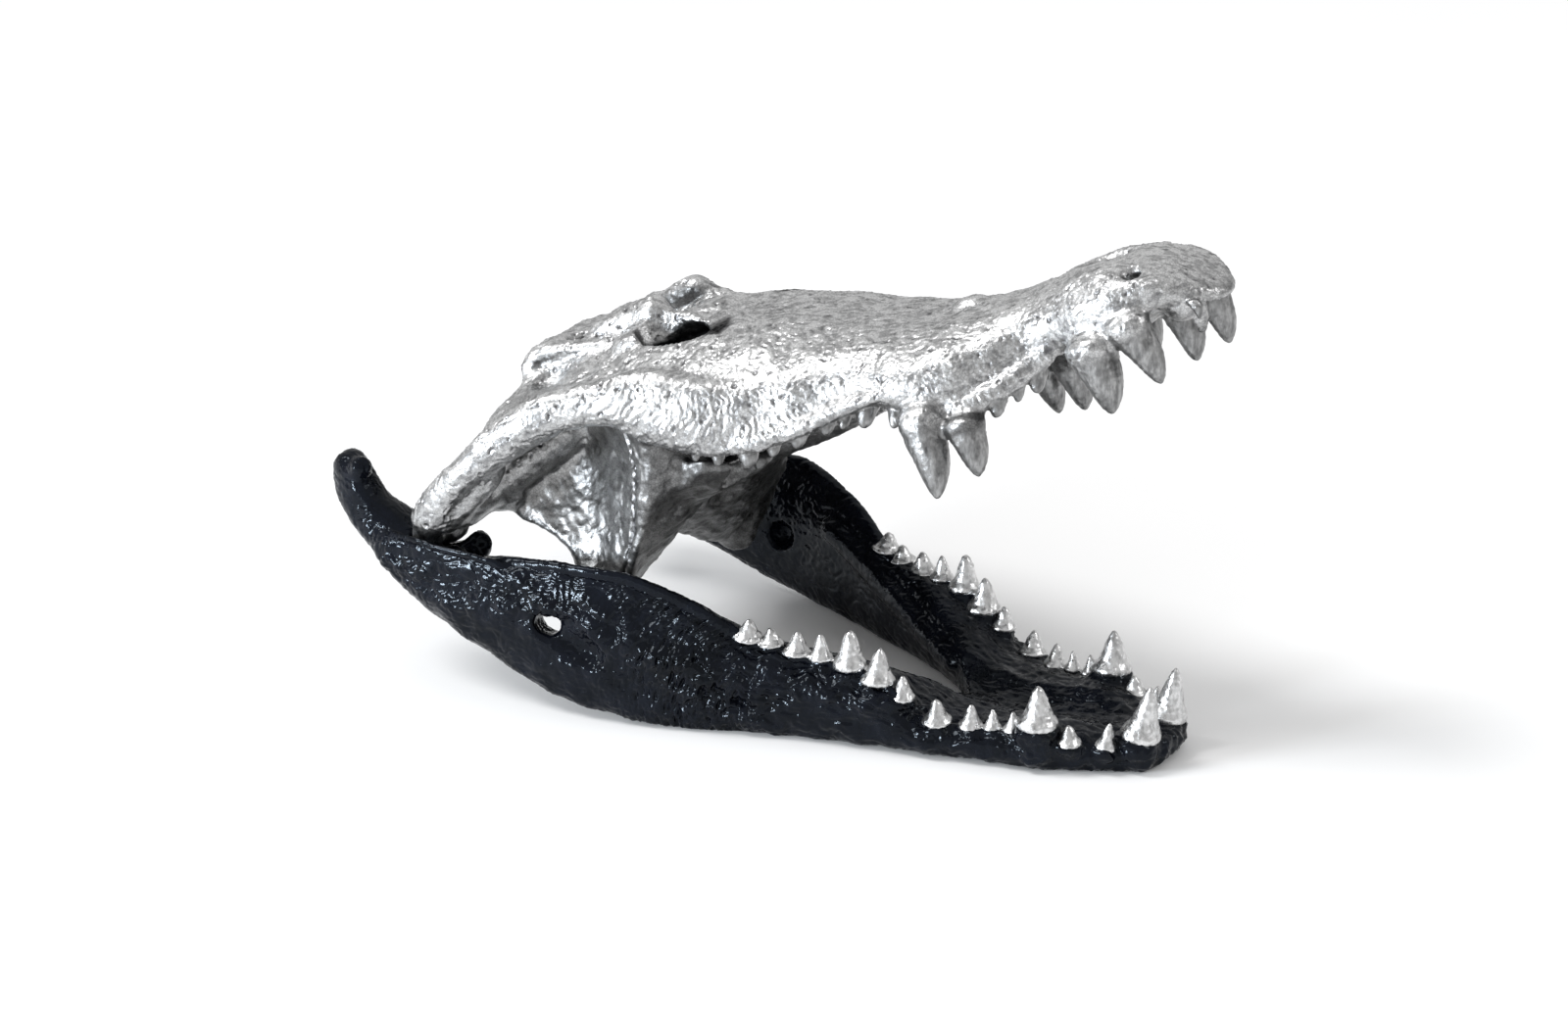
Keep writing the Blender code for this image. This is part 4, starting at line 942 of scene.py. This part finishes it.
def jaw_relief(p, n):
    """Height of the surface detail of the lower jaw, in the jaw's frame."""
    side = np.abs(p[:, 1])
    outer = step(-.05, .45, n[:, 1] * np.sign(p[:, 1]))
    rear = step(.06, -.02, p[:, 0])
    x, z = p[:, 0], p[:, 2]
    lengthwise = np.tile([1.0, 0, -.12], (len(p), 1))
    lengthwise -= n * (lengthwise * n).sum(1)[:, None]
    lengthwise = unit(lengthwise)
    warp = np.stack([noise(p, .014, 131), noise(p, .014, 132), noise(p, .014, 133)], 1) * .0018
    q = p + warp
    # wrinkled field on the outer side, strongest high up behind the tooth row
    ridge_line = np.interp(x, [-.30, -.235, -.20, -.15, -.115, -.08, -.045, .00, .045, .09,
                               .13, .175, .22, .30], [.132, .092, .082, .086, .085, .082, .076,
                                                      .062, .054, .049, .045, .030, .022, .018])
    band = bump(z, ridge_line, .013)
    low = bump(z, ridge_line - .030, .019) * bump(x, .010, .055)
    field = outer * step(-.30, -.25, x) * (.55 + .45 * step(.20, .12, x)) * np.clip(.25 + band + .9 * low, 0, 1)
    f1, f2, r = cells(q * np.array([.75, 1, 1.0]), .0088, 41)
    crease = step(.20, .02, f2 - f1)
    h = -.00120 * crease * field * (1 - .6 * step(-.02, .04, x)) - outer * step(-.30, -.24, x) * step(.23, .17, x) \
        * np.interp(x, [-.30, -.13, -.09, -.02, .05, .15, .22],
                    [.0050, .0055, .0080, .0080, .0060, .0045, .0020]) \
        * step(0, 1, (z - ridge_line + .013) / np.interp(x, [-.05, .05], [.038, .026])) + .0018 * outer * bump(z, ridge_line - .008, .012)
    f1, f2, r = cells(q, .0040, 42)
    crease2 = step(.22, .02, f2 - f1)
    h += (-.00045 * crease2 + .00030 * noise(q, .0060, 50)) * field
    ahead = step(-.02, .04, x)
    h += .00185 * field * ahead * (1 - np.abs(streaks(q, lengthwise, .0062, .026, 51)))
    h += .00045 * noise(p, .018, 43) * (.4 + .6 * outer) + .00095 * noise(p, .020, 52) * field
    # arcs that bow round the middle of the side
    arc = np.hypot(x - .10, (z - .02) * 1.2)
    bow = bump(x, -.005, .045) * outer
    h += bow * .00150 * (1 - np.abs(noise(np.stack([arc * 3.2, z * .8, x * .4], 1), .0085, 44)))
    # drawn-out streaks low down, inside and towards the front
    s1 = streaks(q, lengthwise, .0050, .024, 45)
    s2 = streaks(q, lengthwise, .0028, .012, 46)
    calm = 1 - .7 * field
    h += calm * (.00044 * (1 - np.abs(s1)) + .00026 * (1 - np.abs(s2)))
    # pitted front
    front = step(.10, .18, x)
    f1, f2, r = cells(q, .0080, 47)
    pit = step(.34, .12, f1) * (r > .5) * front
    h += -.0009 * pit
    h += front * .00035 * noise(p, .008, 48)
    # sockets: a swollen rim round each tooth and a dip inside it
    k, along, axis = tooth_field(p, LOWER_TEETH)
    rim = bump(k, 1.62, .26) * step(.4, .1, along)
    h += .0006 * rim
    fold = (1 - np.abs(noise(q, .0045, 49))) * rim
    h += .0003 * fold
    return h


def lift(ob, h):
    """Move each point of the skin along its normal."""
    put_verts(ob, verts(ob) + normals(ob) * h[:, None])


def inside_box(v):
    """Hold the skin inside the frame's own box."""
    lo, hi = np.array(CAD_BOX[0]) + 1e-6, np.array(CAD_BOX[1]) - 1e-6
    lo[2] = CAD_BOX[0][2]
    return np.clip(v, lo, hi)


def largest(ob):
    """Keep the largest connected skin."""
    e = links(ob)
    n = len(ob.data.vertices)
    label = np.arange(n)
    while True:
        low = np.minimum(label[e[:, 0]], label[e[:, 1]])
        new = label.copy()
        np.minimum.at(new, e[:, 0], low)
        np.minimum.at(new, e[:, 1], low)
        new = new[new]
        if (new == label).all():
            break
        label = new
    keep = np.bincount(label, minlength=n).argmax()
    if (label == keep).all():
        return ob
    import bmesh
    bm = bmesh.new()
    bm.from_mesh(ob.data)
    bm.verts.ensure_lookup_table()
    bmesh.ops.delete(bm, geom=[bm.verts[i] for i in np.nonzero(label != keep)[0]],
                     context='VERTS')
    bm.to_mesh(ob.data)
    bm.free()
    return ob


# ------------------------------------------------------------------ materials

class Tree:
    def __init__(self, name):
        self.mat = bpy.data.materials.new(name)
        self.mat.use_nodes = True
        self.t = self.mat.node_tree
        self.bsdf = self.t.nodes['Principled BSDF']

    def node(self, kind, **values):
        n = self.t.nodes.new(kind)
        for k, v in values.items():
            if k in n.inputs:
                n.inputs[k].default_value = v
            else:
                setattr(n, k, v)
        return n

    def link(self, a, b):
        self.t.links.new(a, b)

    def place(self, scale):
        """Object coordinates in metres, times a scale."""
        c = self.node('ShaderNodeTexCoord')
        m = self.node('ShaderNodeMapping')
        m.inputs['Scale'].default_value = (scale,) * 3 if np.isscalar(scale) else scale
        self.link(c.outputs['Object'], m.inputs['Vector'])
        return m.outputs[0]

    def noise(self, scale, detail=3.0, rough=.55, distort=0.0):
        n = self.node('ShaderNodeTexNoise')
        n.inputs['Scale'].default_value = 1.0
        n.inputs['Detail'].default_value = detail
        n.inputs['Roughness'].default_value = rough
        n.inputs['Distortion'].default_value = distort
        self.link(self.place(scale), n.inputs['Vector'])
        return n.outputs['Fac']

    def cracks(self, scale):
        n = self.node('ShaderNodeTexVoronoi')
        n.feature = 'DISTANCE_TO_EDGE'
        n.inputs['Scale'].default_value = 1.0
        self.link(self.place(scale), n.inputs['Vector'])
        return n.outputs['Distance']

    def ramp(self, fac, stops):
        n = self.node('ShaderNodeValToRGB')
        r = n.color_ramp
        while len(r.elements) < len(stops):
            r.elements.new(.5)
        for el, (pos, col) in zip(r.elements, stops):
            el.position = pos
            el.color = (*((col,) * 3 if np.isscalar(col) else col), 1)
        self.link(fac, n.inputs[0])
        return n.outputs[0]

    def math(self, op, a, b=None):
        n = self.node('ShaderNodeMath', operation=op)
        for i, v in enumerate((a, b)):
            if v is None:
                continue
            if np.isscalar(v):
                n.inputs[i].default_value = v
            else:
                self.link(v, n.inputs[i])
        return n.outputs[0]

    def mix(self, fac, a, b, blend='MIX'):
        n = self.node('ShaderNodeMix', data_type='RGBA', blend_type=blend)
        self.link(fac, n.inputs[0]) if not np.isscalar(fac) else \
            setattr(n.inputs[0], 'default_value', fac)
        for i, v in ((6, a), (7, b)):
            if isinstance(v, tuple):
                n.inputs[i].default_value = (*v, 1)
            else:
                self.link(v, n.inputs[i])
        return n.outputs[2]

    def bump(self, height, strength, distance, below=None):
        n = self.node('ShaderNodeBump')
        n.inputs['Strength'].default_value = strength
        n.inputs['Distance'].default_value = distance
        self.link(height, n.inputs['Height'])
        if below is not None:
            self.link(below, n.inputs['Normal'])
        return n.outputs[0]

    def attribute(self, name):
        n = self.node('ShaderNodeAttribute')
        n.attribute_name = name
        return n.outputs['Fac']


def silver_leaf():
    t = Tree('silver_leaf')
    b = t.bsdf
    b.inputs['Metallic'].default_value = 1.0
    hollow_shade_mask = t.attribute('hollow_shade')
    crust = t.attribute('crust')
    grain, coarse = t.noise(150, 4, .6), t.noise(90, 4, .6)
    # painted light: upward-facing skin gets a lighter silver than the sides; fine grain noise mottles both
    grain_and_painted_light = t.mix(t.attribute('top'),
                    t.ramp(grain, [(.30, .44), (.55, .54), (.75, .64)]),
                    t.ramp(grain, [(.30, .76), (.55, .86), (.75, .92)]))
    # painted shade: inner and under surfaces get a darker silver, darkest on the palate side forward of the outer
    # column and on inward-facing walls; coarse noise mottles it
    shaded_inner = t.mix(t.attribute('palate'),
                 t.ramp(coarse, [(.30, .20), (.52, .38), (.72, .58)]),
                 t.ramp(coarse, [(.30, .07), (.52, .15), (.72, .28)]))
    # painted shade: away from the crust mask, on inner and under surfaces, the shaded inner silver replaces the lit
    # tone
    grain_and_painted_light = t.mix(crust, shaded_inner, grain_and_painted_light)
    specks = t.ramp(t.cracks(420), [(.0, .12), (.05, .55), (.11, 1.0)])
    colour = t.mix(.55, grain_and_painted_light, specks, 'MULTIPLY')
    # painted shade: pits, grooves and the column's crack darkened towards near-black
    colour = t.mix(t.math('MULTIPLY', hollow_shade_mask, .85), colour, (.08, .08, .085))
    # painted shade: the upper teeth, hanging under the skull, get a much darker silver than the lower teeth, with
    # streaky grain
    shaded_fang = t.ramp(t.noise((260, 260, 90), 4, .6), [(.28, .11), (.50, .25), (.70, .42)])
    colour = t.mix(t.attribute('tooth'), colour, shaded_fang)
    # painted shade: the eye sockets' insides turned near-black
    colour = t.mix(t.attribute('socket'), colour, (.012, .012, .013))
    t.link(colour, b.inputs['Base Color'])
    rough = t.ramp(t.noise(240, 3, .6), [(.30, .28), (.70, .44)])
    t.link(t.mix(.5, rough, t.ramp(crust, [(0, .42), (1, .32)])), b.inputs['Roughness'])
    fine = t.bump(t.noise(430, 2, .5, .4), .16, .0006)
    leaf = t.bump(t.ramp(t.cracks(300), [(0, 0.0), (.12, 1.0)]), .14, .0005, fine)
    t.link(leaf, b.inputs['Normal'])
    return t.mat


def silver_teeth():
    t = Tree('silver_teeth')
    b = t.bsdf
    b.inputs['Metallic'].default_value = 1.0
    colour = t.ramp(t.noise((260, 260, 90), 4, .6), [(.28, .36), (.50, .64), (.70, .80)])
    t.link(colour, b.inputs['Base Color'])
    t.link(t.ramp(t.noise(300, 3, .6), [(.30, .22), (.70, .40)]), b.inputs['Roughness'])
    t.link(t.bump(t.noise((480, 480, 160), 3, .6, .3), .30, .0006), b.inputs['Normal'])
    return t.mat


def black_gloss():
    t = Tree('black_gloss')
    b = t.bsdf
    colour = t.ramp(t.noise(40, 4, .6), [(.35, (.0015, .0018, .003)), (.70, (.005, .006, .010))])
    t.link(colour, b.inputs['Base Color'])
    t.link(t.ramp(t.noise(180, 3, .6), [(.35, .05), (.70, .12)]), b.inputs['Roughness'])
    b.inputs['IOR'].default_value = 1.26
    b.inputs['Specular Tint'].default_value = (.80, .90, 1.0, 1)
    fine = t.bump(t.noise((220, 360, 420), 2, .5, .4), .04, .0007)
    leaf = t.bump(t.ramp(t.cracks(230), [(0, 0.0), (.14, 1.0)]), .07, .0006, fine)
    t.link(leaf, b.inputs['Normal'])
    return t.mat


def floor_material():
    t = Tree('pale_floor')
    b = t.bsdf
    t.link(t.ramp(t.noise(3, 2, .5), [(.3, .955), (.7, .965)]), b.inputs['Base Color'])
    b.inputs['Roughness'].default_value = 1.0
    b.inputs['Specular IOR Level'].default_value = 0.0
    return t.mat


# ------------------------------------------------------------------ pieces

MOVE = np.array([SHIFT_X, 0, -FLOOR])


def upper_skull(mat):
    ob = relax(cranium(.0022, .0020), 9)
    shape = (verts(ob), [tuple(q.vertices) for q in ob.data.polygons])
    bpy.data.objects.remove(ob, do_unlink=True)
    ob = remesh(as_object('upper_skull', [shape] + upper_teeth()), VOXEL)
    ob = largest(relax(ob, 3))
    p, n = verts(ob), normals(ob)
    h, hollow_shade, crust, tooth, socket = skull_relief(p, n)
    h -= h.mean() * .6
    lift(ob, h)
    # mask for painted shade in pits, grooves and the crack
    keep_attribute(ob, 'hollow_shade', hollow_shade)
    keep_attribute(ob, 'crust', crust)
    # mask for painted shade inside the eye sockets
    keep_attribute(ob, 'socket', socket)
    keep_attribute(ob, 'tooth', tooth)
    # painted light: upward-facing skin is marked for a lighter silver
    keep_attribute(ob, 'top', step(.30, .85, n[:, 2]))
    # painted shade: the palate side forward of the outer column and inward-facing walls are marked for the darkest
    # inner silver
    outer = np.interp(p[:, 2], [-.10, -.055, -.012, .03], [.108, .150, .172, .182])
    keep_attribute(ob, 'palate', np.maximum(step(.006, .024, p[:, 0] - outer),
                                            step(.1, -.3, n[:, 1] * np.sign(p[:, 1]))))
    put_verts(ob, inside_box(tip_up(verts(ob)) + MOVE))
    ob.data.materials.clear()
    ob.data.materials.append(mat)
    ob.data.shade_smooth()
    return ob


def lower_jaw(mat):
    ob = relax(mandible(.0022, .0020), 5)
    ob = largest(relax(remesh(ob, VOXEL), 2))
    ob.name = ob.data.name = 'lower_jaw'
    p, n = verts(ob), normals(ob)
    h = jaw_relief(p, n)
    h -= h.mean() * .6
    lift(ob, h * step(.0, .004, p[:, 2]) + 0)
    put_verts(ob, inside_box(verts(ob) + MOVE))
    ob.data.materials.clear()
    ob.data.materials.append(mat)
    ob.data.shade_smooth()
    return ob


def jaw_teeth(mat):
    ob = remesh(as_object('lower_teeth', lower_teeth()), VOXEL * .7)
    relax(ob, 2)
    p = verts(ob)
    k, along, axis = tooth_field(p, LOWER_TEETH)
    h = .00012 * streaks(p, axis, .003, .018, 61, 5) + .00010 * noise(p, .004, 62)
    lift(ob, h)
    put_verts(ob, inside_box(verts(ob) + MOVE))
    ob.data.materials.clear()
    ob.data.materials.append(mat)
    ob.data.shade_smooth()
    return ob


skull = upper_skull(silver_leaf())
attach(skull, 'root')
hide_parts('snout', 'braincase')

jaw = lower_jaw(black_gloss())
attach(jaw, 'root')
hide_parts('lower_jaw_left', 'lower_jaw_right')

fangs = jaw_teeth(silver_teeth())
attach(fangs, 'root')

# ------------------------------------------------------------------ stage

me = bpy.data.meshes.new('floor')
me.from_pydata([(-9, -9, 0), (9, -9, 0), (9, 9, 0), (-9, 9, 0)], [], [(0, 1, 2, 3)])
floor = bpy.data.objects.new('floor', me)
bpy.context.scene.collection.objects.link(floor)
me.materials.append(floor_material())

world = bpy.data.worlds.new('studio')
bpy.context.scene.world = world
world.use_nodes = True
wt = world.node_tree
wt.nodes['Background'].inputs['Color'].default_value = (.63, .63, .63, 1)
wt.nodes['Background'].inputs['Strength'].default_value = 1.0


def softbox(name, toward, distance, size, power, tint=(1, 1, 1), aim=(0, 0, .15)):
    d = Vector(toward).normalized()
    light = bpy.data.lights.new(name, 'AREA')
    light.shape = 'RECTANGLE'
    light.size, light.size_y = size
    light.energy = power
    light.color = tint
    ob = bpy.data.objects.new(name, light)
    bpy.context.scene.collection.objects.link(ob)
    ob.location = Vector(aim) + d * distance
    ob.rotation_euler = d.to_track_quat('Z', 'Y').to_euler()
    return ob


sun = bpy.data.lights.new('overhead', 'SUN')
sun.energy = 1.38
sun.angle = math.radians(22)
sun_ob = bpy.data.objects.new('overhead', sun)
bpy.context.scene.collection.objects.link(sun_ob)
sun_ob.rotation_euler = Vector((-.48, -.33, .80)).to_track_quat('Z', 'Y').to_euler()
softbox('key', (-.48, -.80, .30), 2.6, (.66, .40), 9, (.95, .98, 1.0))
softbox('strip', (-.48, -.86, .12), 2.6, (.80, .27), 62, (.86, .93, 1.0))
softbox('left', (-.92, -.30, .16), 2.6, (.7, .5), 2.2)
softbox('rim', (.9, .25, .60), 2.6, (.8, .6), 8)

# ------------------------------------------------------------------ camera

AZIMUTH, ELEVATION, DISTANCE = math.radians(30.84), math.radians(20.5), 3.0
ca, sa, ce, se = (math.cos(AZIMUTH), math.sin(AZIMUTH), math.cos(ELEVATION),
                  math.sin(ELEVATION))
right = Vector((ca, sa, 0))
up = Vector((-sa * se, ca * se, ce))
back = Vector((sa * ce, -ca * ce, se))
target = Vector((SHIFT_X, 0, .1354 - FLOOR))
cam_data = bpy.data.cameras.new('camera')
cam_data.lens = 4068.0 * 36.0 / 1600.0
cam_data.sensor_width = 36.0
cam_data.sensor_fit = 'HORIZONTAL'
cam = bpy.data.objects.new('camera', cam_data)
bpy.context.scene.collection.objects.link(cam)
m = Matrix((right, up, back)).transposed().to_4x4()
m.translation = target + back * DISTANCE
cam.matrix_world = m
bpy.context.scene.camera = cam
bpy.context.scene.view_settings.view_transform = 'Standard'
